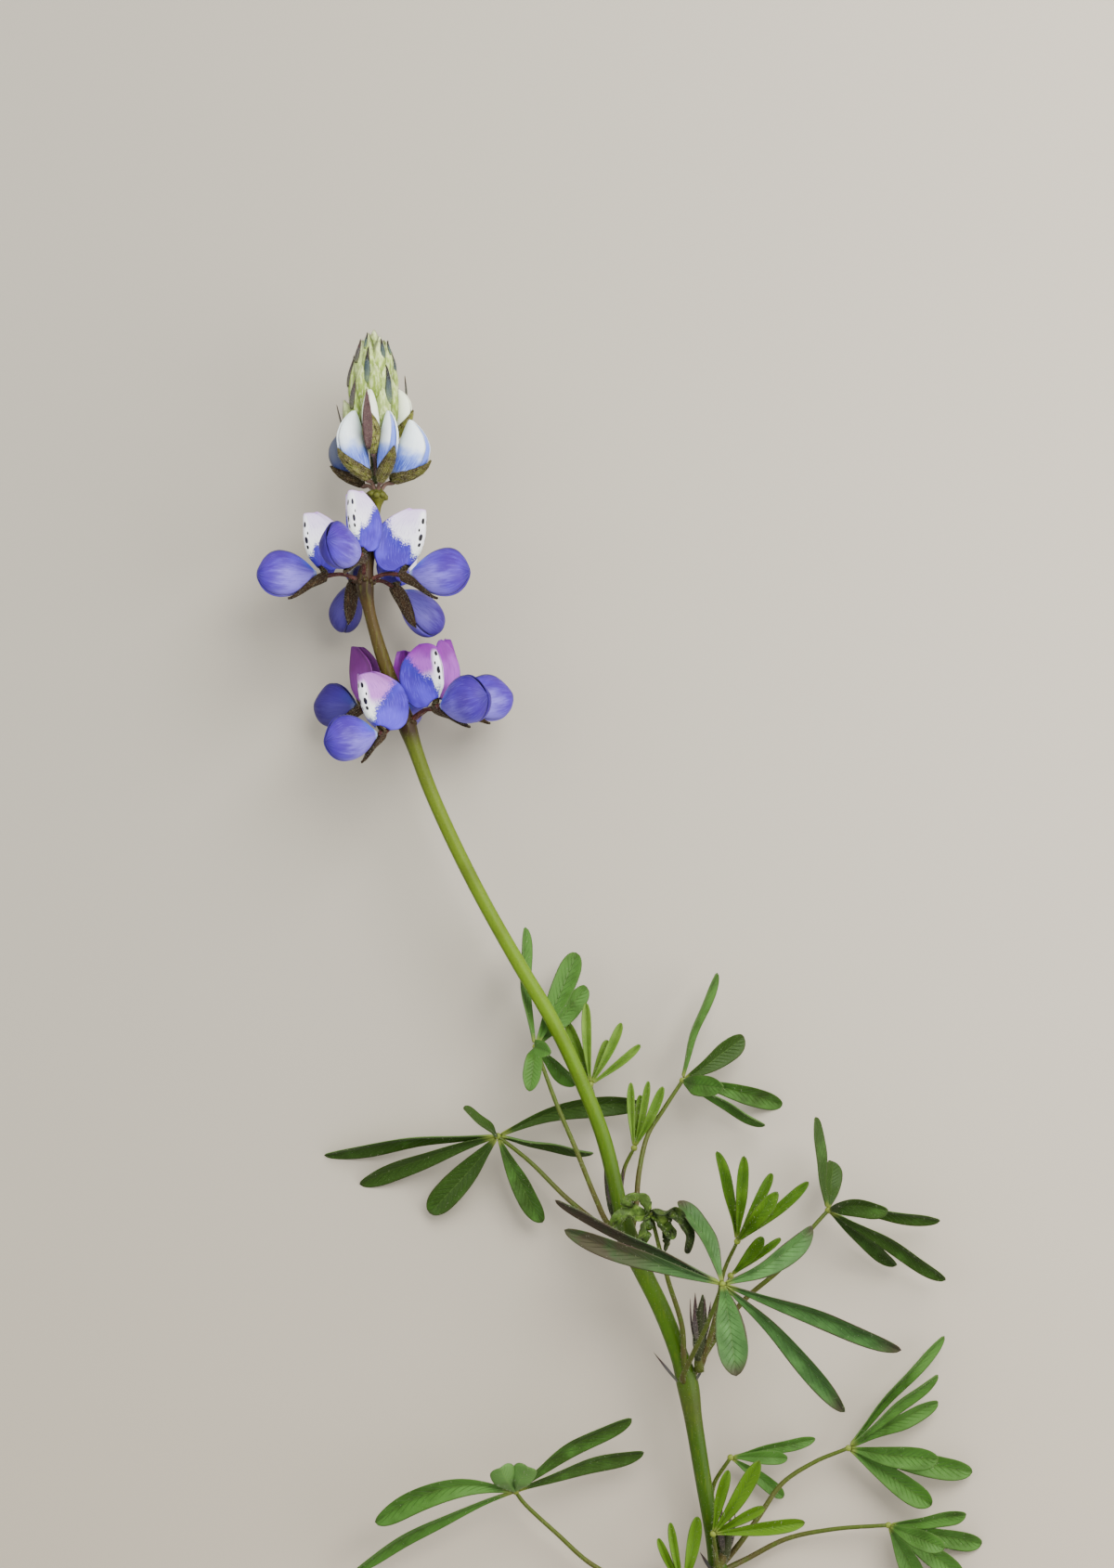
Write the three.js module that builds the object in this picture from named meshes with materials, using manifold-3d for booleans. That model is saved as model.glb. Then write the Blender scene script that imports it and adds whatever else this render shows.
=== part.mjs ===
// A picked stem of annual lupin with its flower spike, lying on its back.
// Units are millimetres. +Y runs up the stem to the spike's tip, +Z points away from the surface.
// The origin is on the surface, under the middle of the outline.

import * as THREE from 'three';
import Module from 'manifold-3d';

const wasm = await Module();
wasm.setup();

// Driving dimensions
const BLADE = 0.6; // thickness of leaflets and petals
const GAP = 0.3; // clearance between touching pieces
const DETAIL = 0.14; // smaller steps than this are smoothed away
const STEM_SIDES = 8;
const LEAFLET_FOLD = 24; // degrees that each half of a leaflet rises from its midrib
const LEAFLET_ROOT = 0.55; // how far from the hub's middle a leaflet starts
const HUB_RADIUS = 1.0; // where a leaf's leaflets meet
const HUB_FLATNESS = 0.7;
const PETIOLE_RADIUS = 0.5;
const PETIOLE_SWELL = 0.5; // how much thicker it is at the stem, as a share
const PETIOLE_SIDES = 5;
const PEDICEL_RADIUS = 0.45;
const PEDICEL_SIDES = 4;
const SPREAD_MIDDLE = { x: -5.32, y: -1.31 }; // middle of the outline in the measuring frame

const FINISHES = {
  stem: { color: 0x8fa63c, roughness: 0.55 },
  leaf: { color: 0x7c9a52, roughness: 0.6 },
  witheredLeaf: { color: 0x6f5a45, roughness: 0.8 },
  sideShoot: { color: 0x86a04a, roughness: 0.6 },
  calyx: { color: 0x76602f, roughness: 0.7 },
  wings: { color: 0x3c3fae, roughness: 0.5 },
  freshBanner: { color: 0x7d7fd0, roughness: 0.5 },
  agedBanner: { color: 0x8c3f96, roughness: 0.5 },
  budPetals: { color: 0xb9bede, roughness: 0.5 },
  budHead: { color: 0x9aa544, roughness: 0.6 },
};

const point = (x, y, z) => new THREE.Vector3(x, y, z);
const radians = THREE.MathUtils.degToRad;

// Solids

function solid(points, faces) {
  const vertProperties = new Float32Array(points.length * 3);
  points.forEach((p, i) => p.toArray(vertProperties, i * 3));
  let volume = 0;
  const turn = new THREE.Vector3();
  for (const [a, b, c] of faces) {
    volume += points[a].dot(turn.copy(points[b]).cross(points[c]));
  }
  const outward = volume > 0 ? faces : faces.map(([a, b, c]) => [a, c, b]);
  const triVerts = new Uint32Array(outward.flat());
  return new wasm.Manifold(new wasm.Mesh({ numProp: 3, vertProperties, triVerts }));
}

function join(parts) {
  return parts.reduce((whole, part) => whole.add(part));
}

// A closed body through equal rings of points.
function loft(rings) {
  const sides = rings[0].length;
  const faces = [];
  for (let i = 0; i + 1 < rings.length; i += 1) {
    for (let j = 0; j < sides; j += 1) {
      const a = i * sides + j;
      const b = i * sides + ((j + 1) % sides);
      faces.push([a, b, b + sides], [a, b + sides, a + sides]);
    }
  }
  const last = (rings.length - 1) * sides;
  for (let j = 1; j + 1 < sides; j += 1) {
    faces.push([0, j + 1, j], [last, last + j, last + j + 1]);
  }
  return solid(rings.flat(), faces);
}

// A rod along a smooth curve through the points, with a radius at each point.
function rod(points, radii, sides, stepsPerSpan) {
  const curve = new THREE.CatmullRomCurve3(points, false, 'centripetal');
  const spans = points.length - 1;
  const count = spans * stepsPerSpan;
  const rings = [];
  const across = new THREE.Vector3();
  for (let i = 0; i <= count; i += 1) {
    const t = i / count;
    const centre = curve.getPoint(t);
    const along = curve.getTangent(t);
    if (i === 0) {
      across.set(0, 0, 1);
      if (Math.abs(along.z) > 0.9) across.set(1, 0, 0);
    }
    across.addScaledVector(along, -across.dot(along)).normalize();
    const other = along.clone().cross(across);
    const k = Math.min(Math.floor(t * spans), spans - 1);
    const radius = THREE.MathUtils.lerp(radii[k], radii[k + 1], t * spans - k);
    const ring = [];
    for (let j = 0; j < sides; j += 1) {
      const angle = (2 * Math.PI * j) / sides;
      ring.push(centre.clone()
        .addScaledVector(across, radius * Math.cos(angle))
        .addScaledVector(other, radius * Math.sin(angle)));
    }
    rings.push(ring);
  }
  return loft(rings);
}

// A closed blade of even thickness about a grid of points, split alike on both faces.
function blade(grid, thickness) {
  const rows = grid.length;
  const columns = grid[0].length;
  const upper = [];
  const lower = [];
  for (let i = 0; i < rows; i += 1) {
    for (let j = 0; j < columns; j += 1) {
      const up = grid[Math.min(i + 1, rows - 1)][j].clone().sub(grid[Math.max(i - 1, 0)][j]);
      const side = grid[i][Math.min(j + 1, columns - 1)].clone().sub(grid[i][Math.max(j - 1, 0)]);
      const normal = up.cross(side).normalize();
      upper.push(grid[i][j].clone().addScaledVector(normal, thickness / 2));
      lower.push(grid[i][j].clone().addScaledVector(normal, -thickness / 2));
    }
  }
  const size = rows * columns;
  const faces = [];
  const rim = [];
  for (let i = 0; i + 1 < rows; i += 1) {
    for (let j = 0; j + 1 < columns; j += 1) {
      const a = i * columns + j;
      const b = a + 1;
      const c = a + columns + 1;
      const d = a + columns;
      faces.push([a, b, c], [a, c, d]);
      faces.push([a + size, c + size, b + size], [a + size, d + size, c + size]);
    }
  }
  for (let j = 0; j + 1 < columns; j += 1) rim.push([j, j + 1]);
  for (let i = 1; i < rows; i += 1) rim.push([i * columns - 1, (i + 1) * columns - 1]);
  for (let j = columns - 1; j > 0; j -= 1) {
    rim.push([(rows - 1) * columns + j, (rows - 1) * columns + j - 1]);
  }
  for (let i = rows - 1; i > 0; i -= 1) rim.push([i * columns, (i - 1) * columns]);
  for (const [a, b] of rim) faces.push([b, a, a + size], [b, a + size, b + size]);
  return solid([...upper, ...lower], faces);
}

// Stem: centre line from the cut end to the base of the bud head, with its radius.
const STEM = [
  [13.2, -118.5, 1.5, 1.35], [12.5, -110, 2.6, 1.35], [11.3, -99, 4.4, 1.65], [10.6, -94, 5.0, 1.4],
  [8.7, -83, 6.6, 1.4], [6.9, -72, 7.9, 1.55], [5.9, -65.9, 8.6, 1.9], [4.5, -61, 9.1, 1.6],
  [1.4, -52.9, 10.2, 1.55], [-2.2, -45.5, 11.1, 1.6], [-4.3, -40.9, 11.6, 1.9], [-5.8, -35, 12.1, 1.4],
  [-8.8, -22.7, 13.0, 1.3], [-12.6, -13, 13.6, 1.25], [-17.6, -2.5, 14.0, 1.25], [-23.2, 7.0, 14.3, 1.25],
  [-29.1, 17.4, 14.6, 1.2], [-34.4, 27.8, 14.8, 1.2], [-38.7, 37.4, 15, 1.2], [-41.4, 44.8, 15, 1.3],
  [-42.7, 48.6, 15, 1.6], [-43.8, 52, 15, 1.3], [-47, 60.6, 15.1, 1.15], [-49.2, 68.5, 15.2, 1.05],
  [-49.9, 73, 15.3, 1.55], [-49.5, 76, 15.4, 1.15], [-48.6, 81, 15.4, 0.95], [-47.9, 86.2, 15.3, 0.85],
  [-47.8, 87.8, 15.3, 1.5], [-47.8, 89.2, 15.3, 0.9],
];

function stemBody(extra) {
  const points = STEM.map(([x, y, z]) => point(x, y, z));
  const radii = STEM.map((row) => row[3] + extra);
  return rod(points, radii, STEM_SIDES, 1);
}

// Leaves: the hub where the leaflets meet, the petiole's way down to the stem, and the leaflets
// as [heading, length, lift, width, bow, roll, sway]: degrees from +X, millimetres, degrees from
// the surface, millimetres, how far the middle bows up as a share of the length, degrees that the
// left edge is turned up, and how far the middle sways to the left as a share of the length.
const LEAVES = {
  leaf_left: {
    finish: 'leaf',
    hub: [-27.1, -22.9, 6.0],
    petiole: [[-21.5, -27.4, 5.4], [-14.9, -33.8, 7], [-8, -39, 9.5], [-4.3, -40.9, 11.6]],
    leaflets: [[-173, 31.3, -11.5, 4.2, 0.04, -55, -0.03], [-160, 26.5, -13.5, 4.4, 0.04, -35, -0.02],
      [-131, 18.8, -14, 5.4, 0, 10, 0], [-63, 17.2, -7, 4.2, 0, 15, 0], [-11, 17.4, -12, 3.6, 0.03, 65, 0],
      [12, 26, -6, 4.4, 0.02, 25, 0.08], [137, 12, 48, 3, 0.2, 60, 0]],
  },
  leaf_tall: {
    finish: 'leaf',
    hub: [-20.5, -7.0, 13.8],
    petiole: [[-17, -16.5, 15], [-13.4, -25, 15], [-10.2, -33, 14], [-8, -37.6, 13], [-4.3, -41, 11.6]],
    leaflets: [[95, 21.6, -18, 4, 0.02, 60, 0.05], [-98, 10.2, 43, 3.6, 0.2, 0, 0],
      [-18, 6, 62, 3.4, 0.2, 0, 0], [66, 19.6, -27, 4.6, 0, 0, 0], [48, 16.7, -37, 4.2, 0, 20, 0],
      [-46, 13, -40, 3.6, 0, 30, 0]],
  },
  leaf_high: {
    finish: 'leaf',
    hub: [5.0, -13.2, 7.0],
    petiole: [[1.5, -18.5, 7.5], [-1, -22.5, 8], [-2.6, -29, 9.8], [-3.2, -35.5, 10.6],
      [-4.3, -41, 11.6]],
    leaflets: [[72, 19.7, -3, 3.8, 0.03, 65, 0.04], [35, 13.5, -13, 4.6, 0.04, 20, 0],
      [-15, 19.8, -23, 4, 0.08, 20, 0.04], [-29, 16.8, -10, 3.6, 0.05, 60, 0],
      [-7, 10.7, 49, 4.2, 0.15, 0, 0]],
  },
  leaf_front: {
    finish: 'leaf',
    hub: [11.5, -47.2, 23.0],
    petiole: [[9, -54.5, 18.5], [6.2, -61, 14], [4.9, -64.6, 11], [5.9, -65.9, 8.6]],
    leaflets: [[153, 32.3, 5, 4.2, 0.03, -50, 0], [160, 29.7, 14, 4.8, 0.04, -20, 0],
      [118, 17.1, -24, 4.4, 0, 40, -0.05], [31, 18.9, -15, 5, 0.05, 30, -0.06],
      [-20, 32.5, 4, 4.4, 0.03, 35, 0.02], [-46, 30.1, 6, 4.4, 0.04, 35, 0.04],
      [-82, 17.5, 31, 6, 0.12, 0, 0]],
  },
  leaf_right: {
    finish: 'leaf',
    hub: [30.2, -35.6, 9.0],
    petiole: [[27.2, -38.9, 9.5], [22.4, -45.2, 9.5], [15.4, -51.5, 8.5], [9, -60.5, 8], [5.9, -65.9, 8.6]],
    leaflets: [[98, 16.8, 10, 3.6, 0.04, 55, 0.03], [84, 9.7, -31, 4, 0, 30, 0],
      [3, 11.8, 31, 4.4, 0.25, 30, 0.08], [-6, 20, -9, 3.6, 0.04, 50, 0.03],
      [-31, 24.4, -9, 4, 0.04, 45, 0.03], [-40, 17.4, -24, 3.6, 0, 40, 0]],
  },
  leaf_low_left: {
    finish: 'leaf',
    hub: [-24, -84.4, 8.5],
    petiole: [[-22.6, -86.4, 7.8], [-16.8, -92, 6.4], [-10.7, -97.5, 5.2], [-2.4, -101.5, 4.4],
      [5.6, -101.5, 4.2], [11.3, -99, 4.4]],
    leaflets: [[-168.6, 25, 7, 5.6, 0.16, -25, -0.14], [-152.7, 32, -8.1, 4, 0.04, -50, -0.05],
      [32.6, 24, 4.9, 4.4, 0.05, 40, 0.06], [15.8, 23.6, -10, 4.2, 0.04, 40, 0.05],
      [118, 8.6, 50, 5.2, 0.1, 0, 0], [66, 8.6, 50, 4.8, 0.1, 0, 0]],
  },
  leaf_low_middle: {
    finish: 'leaf',
    hub: [13.4, -78.9, 5.0],
    petiole: [[10.4, -84.2, 3.6], [10.4, -91, 2.8], [11.2, -96, 3.2], [11.3, -99, 4.4]],
    leaflets: [[12, 15.2, -4, 2.6, 0.03, 20, 0], [0, 10, 8, 2.8, 0.03, 0, 0],
      [-38, 12.4, -16, 2.8, 0.03, 0, 0.03]],
  },
  leaf_low_right: {
    finish: 'leaf',
    hub: [33.9, -77.2, 5.5],
    petiole: [[28, -79.7, 5], [22.4, -83.4, 5], [18.4, -89, 5.4], [15.2, -93.5, 5.6], [11.3, -98.4, 4.6]],
    leaflets: [[49, 25.7, -4, 3.8, 0.04, 50, 0.02], [40, 20.3, 6, 3.8, 0.04, 50, 0.02],
      [26, 17.9, -10, 4.2, 0.04, 35, 0.03], [-6, 15.9, 11, 4.8, 0.05, 10, 0],
      [-12, 22.7, -10, 4.8, 0.04, 10, 0], [-35, 17.9, -6, 4.8, 0.04, 10, 0]],
  },
  leaf_lowest_right: {
    finish: 'leaf',
    hub: [40.9, -90.7, 4.8],
    petiole: [[31.2, -91.6, 3.4], [23.2, -93.4, 2.4], [16, -97, 2.6], [11.3, -99, 4.4]],
    leaflets: [[8, 13.7, 0, 3.6, 0.05, 30, 0], [-13, 17.7, -15.5, 4.4, 0.05, 20, 0],
      [-36, 16.7, -13, 4.4, 0.05, 10, 0], [-63, 13, -9, 4.4, 0.04, 0, 0], [-20, 11.1, 24, 4, 0.1, 0, 0]],
  },
  leaf_withered: {
    finish: 'witheredLeaf',
    hub: [-0.7, -35.4, 18],
    petiole: [[1.1, -42.6, 16.6], [2.4, -47.4, 15], [4.8, -55.4, 12.6], [5.2, -61.8, 10.8],
      [5.9, -65.9, 8.6]],
    leaflets: [[152, 3.9, 14, 2.4, 0.2, 0, -0.2], [-159, 7.4, -6, 2.4, 0.1, 0, 0.1],
      [-102, 5.5, 3, 2.2, 0.15, 0, -0.2], [-46, 9.6, -6, 2.2, 0.1, 0, 0.25],
      [-36, 5.6, 0, 2.2, 0.1, 0, -0.25]],
  },
};

// Leaflet outline: share of the length, share of the full width.
const LEAFLET_OUTLINE = [[0, 0.16], [0.3, 0.56], [0.6, 0.95], [0.82, 0.9], [1, 0.16]];

const FOLDED = [-1, 0, 1]; // across a leaflet: edge, midrib, edge
const FLAT = [-1, 1];

function leafletGrid(hub, [heading, length, lift, width, bow, roll, sway], columns) {
  const yaw = radians(heading);
  const pitch = radians(lift);
  const level = Math.cos(pitch);
  const along = point(Math.cos(yaw) * level, Math.sin(yaw) * level, Math.sin(pitch));
  const side = point(-Math.sin(yaw), Math.cos(yaw), 0);
  const up = along.clone().cross(side);
  const sideways = side.clone();
  const upward = up.clone();
  side.applyAxisAngle(along, radians(roll));
  up.applyAxisAngle(along, radians(roll));
  const fold = radians(LEAFLET_FOLD);
  return LEAFLET_OUTLINE.map(([t, share]) => {
    const u = t + ((1 - t) * LEAFLET_ROOT) / length;
    const middle = hub.clone()
      .addScaledVector(along, length * u)
      .addScaledVector(upward, bow * length * Math.sin(Math.PI * u))
      .addScaledVector(sideways, sway * length * Math.sin(Math.PI * u));
    const half = (width * share) / 2;
    return columns.map((v) => middle.clone()
      .addScaledVector(side, v * half * Math.cos(fold))
      .addScaledVector(up, Math.abs(v) * half * Math.sin(fold)));
  });
}

function leafParts({ hub, petiole, leaflets }, columns) {
  const centre = point(...hub);
  const path = [centre, ...petiole.map((p) => point(...p))];
  const radii = path.map((p, i) => PETIOLE_RADIUS * (1 + (PETIOLE_SWELL * i) / (path.length - 1)));
  const parts = [rod(path, radii, PETIOLE_SIDES, 1), leafHub(centre)];
  for (const leaflet of leaflets) parts.push(blade(leafletGrid(centre, leaflet, columns), BLADE));
  return parts;
}

const HUB_HEIGHTS = [-0.75, 0, 0.75]; // rings of the hub, as shares of its radius
const HUB_SIDES = 5;

function leafHub(centre) {
  return loft(HUB_HEIGHTS.map((height) => {
    const wide = HUB_RADIUS * Math.sqrt(1 - height * height);
    const high = HUB_RADIUS * HUB_FLATNESS * height;
    const ring = [];
    for (let k = 0; k < HUB_SIDES; k += 1) {
      const angle = (2 * Math.PI * k) / HUB_SIDES;
      const away = point(wide * Math.cos(angle), wide * Math.sin(angle), high);
      ring.push(away.add(centre));
    }
    return ring;
  }));
}

// Side shoots in the leaf axils: a hairy bud and small young leaves on their petioles.
const SIDE_SHOOTS = {
  side_shoot_high: {
    root: [-5.6, -38.6, 9.4],
    bud: { from: [-6.6, -37.6, 10.6], to: [-8.2, -27.5, 10.8], radius: 1.4 },
    leaves: [
      { hub: [-11.0, -13.8, 8.5], petiole: [[-8.8, -21.8, 8.4], [-6.6, -32, 8]],
        leaflets: [[93, 14.2, 0, 2.3, 0.05, 0, 0], [63, 12.1, -10, 2.2, 0.05, 0, 0],
          [38, 11.2, -10, 1.9, 0.05, 0, 0], [111, 12.1, -14, 2.2, 0.05, 0, 0],
          [68, 9.5, -32, 2.2, 0, 0, 0]] },
      { hub: [-3.4, -24.9, 7.2], petiole: [[-5.1, -28.5, 6.9], [-5.8, -34, 7.4]],
        leaflets: [[93, 11.5, 5, 1.8, 0.05, 0, 0], [78, 11.9, 0, 1.7, 0.05, 0, 0],
          [65, 11.9, 5, 2.3, 0.05, 0, 0], [83, 9.6, -18, 1.8, 0, 0, 0]] },
    ],
  },
  side_shoot_middle: {
    root: [7.8, -63.4, 10.2],
    bud: { from: [7.6, -61.4, 11], to: [8.4, -50, 11.4], radius: 1.6 },
    leaves: [
      { hub: [14.2, -40.3, 17.5], petiole: [[11.9, -46, 14.5], [10.6, -53.6, 12.8]],
        leaflets: [[103, 16, 4, 2.8, 0.05, 25, 0], [86, 15.2, 11, 2.8, 0.05, 10, 0],
          [53, 12.7, 28, 3.8, 0.15, 0, 0], [40, 16, 2, 2.6, 0.05, 0, 0], [62, 13.5, -16, 2.4, 0, 0, 0]] },
      { hub: [13.2, -46.6, 12.8], petiole: [[12, -50, 11.9], [10.2, -56.6, 10.6]],
        leaflets: [[50, 8.7, 0, 3, 0.05, 0, 0], [36, 10.9, -8, 1.8, 0.05, 0, 0]] },
    ],
  },
  side_shoot_low: {
    root: [11, -98, 6.9],
    bud: { from: [12.2, -97, 6.8], to: [13, -90.6, 8], radius: 1.2 },
    leaves: [
      { hub: [10.2, -91.3, 12.0], petiole: [[10.6, -94.2, 9.6]],
        leaflets: [[77, 11.5, 5, 2.6, 0.05, 0, 0], [59, 15.9, 15, 3.8, 0.05, 0, 0],
          [26, 10.1, -11, 2.6, 0.05, 0, 0], [8, 16.1, 7, 3.4, 0.05, 0, 0]] },
      { hub: [5.1, -101.4, 9.0], petiole: [[7.6, -100.2, 8.2]],
        leaflets: [[116, 10, 0, 1.9, 0.05, 0, 0], [101, 12.1, 5, 2, 0.05, 0, 0],
          [79, 13, 0, 3.2, 0.05, 0, 0]] },
    ],
  },
};

const SHOOT_SIDES = 6;
const SHOOT_BASE_RADIUS = 1;
const SHOOT_BASE_REACH = 0.3; // how far the base runs up into the bud, as a share

// Closed bud: share of the length, share of the radius.
const SPINDLE = [[0, 0.55], [0.3, 1], [0.7, 0.8], [1, 0.12]];

function spindle(from, to, radius, sides) {
  const start = point(...from);
  const end = point(...to);
  const points = SPINDLE.map(([t]) => start.clone().lerp(end, t));
  const radii = SPINDLE.map(([, share]) => radius * share);
  return rod(points, radii, sides, 1);
}

function sideShootParts({ root, bud, leaves }) {
  const inBud = point(...bud.from).lerp(point(...bud.to), SHOOT_BASE_REACH);
  const parts = [
    rod([point(...root), inBud], [SHOOT_BASE_RADIUS, SHOOT_BASE_RADIUS], SHOOT_SIDES, 1),
    spindle(bud.from, bud.to, bud.radius, SHOOT_SIDES),
  ];
  for (const leaf of leaves) {
    parts.push(...leafParts({ ...leaf, petiole: [...leaf.petiole, root] }, FLAT));
  }
  return parts;
}

// Flowers. In a flower's own frame +X is forward to the wings' tip, +Z is the banner's side,
// and the origin is where the pedicel meets the calyx.
// Wings: along, centre height, half height, half width.
const WINGS = [
  [1.6, 0, 0.95, 0.8], [3.6, -0.1, 2.6, 1.85], [6.8, -0.2, 3.95, 2.9], [9.5, -0.3, 3.6, 2.65],
  [11.2, -0.4, 1.1, 0.9],
];
const WINGS_OPENING = 16; // degrees left open on each side of the top
const WINGS_CREST = 1.14; // how high their pointed upper half rises, as a share of the half height
const WINGS_COLUMNS = 7;

function wingsGrid() {
  const reach = radians(180 - WINGS_OPENING);
  return WINGS.map(([x, z, high, wide]) => {
    const row = [];
    for (let j = 0; j < WINGS_COLUMNS; j += 1) {
      const angle = reach * ((2 * j) / (WINGS_COLUMNS - 1) - 1);
      const above = Math.abs(angle) / (Math.PI / 2) - 1;
      const rise = above < 0 ? -Math.cos(angle) : WINGS_CREST * above;
      const breadth = above < 0 ? Math.abs(Math.sin(angle)) : 1 - above ** 1.45;
      row.push(point(x, Math.sign(angle) * wide * breadth, z + high * rise));
    }
    return row;
  });
}

// Banner: midline along and height, width of one side along the sheet, rise of its edge.
const BANNER = [
  [1.2, 1.8, 3.0, -0.7], [2.9, 3.8, 7.5, -0.8], [3.7, 6.6, 8.5, -0.2], [3.75, 9.6, 6.3, 0],
  [3.5, 11.3, 2.9, 0],
];
const BANNER_COLUMNS = [0.27, 0.62, 1];
const BANNER_TURN = 0.9; // how soon its sides turn back, millimetres from the midline
const SWEEP_STEPS = 12;

// How far a side that turns back by so many degrees has gone outward and back at a distance
// across the sheet.
function bannerSweep(across, degrees) {
  let outward = 0;
  let back = 0;
  for (let k = 0; k < SWEEP_STEPS; k += 1) {
    const here = (across * (k + 0.5)) / SWEEP_STEPS;
    const angle = radians(degrees) * (1 - Math.exp(-here / BANNER_TURN));
    outward += (Math.cos(angle) * across) / SWEEP_STEPS;
    back += (Math.sin(angle) * across) / SWEEP_STEPS;
  }
  return { outward, back };
}

function bannerGrid([minus, plus]) {
  return BANNER.map(([x, z, width, rise]) => {
    const side = (sign) => BANNER_COLUMNS.map((share) => {
      const [size, degrees] = sign < 0 ? minus : plus;
      const { outward, back } = bannerSweep(width * share * size, degrees);
      return point(x - back, sign * outward, z + rise * share * share);
    });
    return [...side(-1).reverse(), point(x, 0, z), ...side(1)];
  });
}

// Calyx: a pointed lower lip that hugs the wings, as [along, depth, half width, reach in degrees].
const LOWER_LIP = [
  [-0.3, 0.7, 0.75, 150], [1.2, 2, 1.7, 85], [3.4, 3.7, 2.7, 42], [5.8, 4.9, 3.4, 9],
];
const LIP_COLUMNS = [-1, -0.38, 0.38, 1];

function lowerLipGrid() {
  return LOWER_LIP.map(([x, down, wide, reach]) => LIP_COLUMNS.map((v) => {
    const angle = radians(reach) * v;
    return point(x, wide * Math.sin(angle), -down * Math.cos(angle));
  }));
}

function flowerFrame({ base, forward, up, size = 1 }) {
  const x = point(...forward).normalize();
  const z = point(...up);
  z.addScaledVector(x, -z.dot(x)).normalize();
  const y = z.clone().cross(x);
  return new THREE.Matrix4().makeBasis(x, y, z)
    .scale(point(size, size, size))
    .setPosition(point(...base));
}

function placed(grid, frame) {
  return grid.map((row) => row.map((p) => p.clone().applyMatrix4(frame)));
}

// Flowers of the two whorls: base, forward and banner side, whether the banner has aged, and of
// the banner's two sides the share of the full width and the degrees by which it turns back.
const WHORL_LOW = [-42.7, 48.6, 15];
const WHORL_HIGH = [-49.9, 73, 15.3];
const FLOWERS = {
  flower_low_1: { node: WHORL_LOW, aged: true, base: [-47.1, 47.2, 19], forward: [-0.86, -0.08, 0.48],
    up: [0.05, 1, -0.1], flaps: [[0.6, 30], [1, 78]], size: 0.95 },
  flower_low_2: { node: WHORL_LOW, aged: true, base: [-50.6, 51.4, 12], forward: [-0.7, 0.1, -0.66],
    up: [-0.32, 0.95, -0.3], flaps: [[0.7, 70], [1, 84]], size: 0.92 },
  flower_low_3: { node: WHORL_LOW, aged: true, base: [-38, 51.4, 18.4], forward: [0.75, 0.22, 0.62],
    up: [-0.2, 0.95, 0], flaps: [[0.95, 74], [0.75, 16]], size: 1 },
  flower_low_4: { node: WHORL_LOW, aged: true, base: [-35.4, 52.2, 12.6], forward: [0.9, 0.16, -0.4],
    up: [0, 0.9, -0.35], flaps: [[0.6, 76], [0.7, 76]], size: 1 },
  flower_low_5: { node: WHORL_LOW, aged: true, base: [-43.4, 50.2, 10.1], forward: [0.05, 0.25, -1],
    up: [0, 0.9, 0.2], flaps: [[0.5, 76], [0.5, 76]], size: 0.95 },
  flower_high_1: { node: WHORL_HIGH, aged: false, base: [-56.6, 74.5, 17], forward: [-0.97, 0.07, 0.22],
    up: [0, 0.9, -0.36], flaps: [[0.8, 70], [0.85, 82]], size: 1 },
  flower_high_2: { node: WHORL_HIGH, aged: false, base: [-50.2, 77.2, 19.6], forward: [-0.5, 0.27, 0.82],
    up: [0.05, 0.8, -0.42], flaps: [[0.7, 60], [0.85, 70]], size: 0.98 },
  flower_high_3: { node: WHORL_HIGH, aged: false, base: [-43.3, 74.2, 18], forward: [0.95, 0.08, 0.3],
    up: [0, 0.94, -0.34], flaps: [[1, 80], [0.8, 58]], size: 1.03 },
  flower_high_4: { node: WHORL_HIGH, aged: false, base: [-52, 73, 12.5], forward: [-0.22, -0.64, -0.74],
    up: [-0.1, 0.7, -0.65], flaps: [[0.8, 76], [0.8, 76]], size: 0.92 },
  flower_high_5: { node: WHORL_HIGH, aged: false, base: [-44.9, 72.2, 13], forward: [0.68, -0.57, -0.47],
    up: [0.2, 0.6, -0.75], flaps: [[0.8, 76], [0.8, 76]], size: 1 },
};

const PEDICEL_MIDDLE = 0.55; // share of the way where it arches most
const PEDICEL_ARCH = 0.5;
const PEDICEL_SEAT = 0.6; // how far it runs on into the calyx
const PEDICEL_SWELL = [1, 1, 1.6, 1.8]; // its radius from the stem to the calyx, as shares

function pedicel(node, base, forward) {
  const start = point(...node);
  const end = point(...base);
  const middle = start.clone().lerp(end, PEDICEL_MIDDLE).add(point(0, PEDICEL_ARCH, 0));
  const seat = end.clone().addScaledVector(point(...forward).normalize(), PEDICEL_SEAT);
  const radii = PEDICEL_SWELL.map((share) => PEDICEL_RADIUS * share);
  return rod([start, middle, end, seat], radii, PEDICEL_SIDES, 1);
}

function flowerBodies(flower) {
  const frame = flowerFrame(flower);
  const wings = placed(wingsGrid(), frame);
  const banner = placed(bannerGrid(flower.flaps), frame);
  const green = [
    blade(placed(lowerLipGrid(), frame), BLADE),
    pedicel(flower.node, flower.base, flower.forward),
  ];
  return {
    wings: blade(wings, BLADE),
    wingsRoom: blade(wings, BLADE + 2 * GAP),
    banner: blade(banner, BLADE),
    bannerRoom: blade(banner, BLADE + 2 * GAP),
    calyx: join(green),
  };
}

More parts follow.
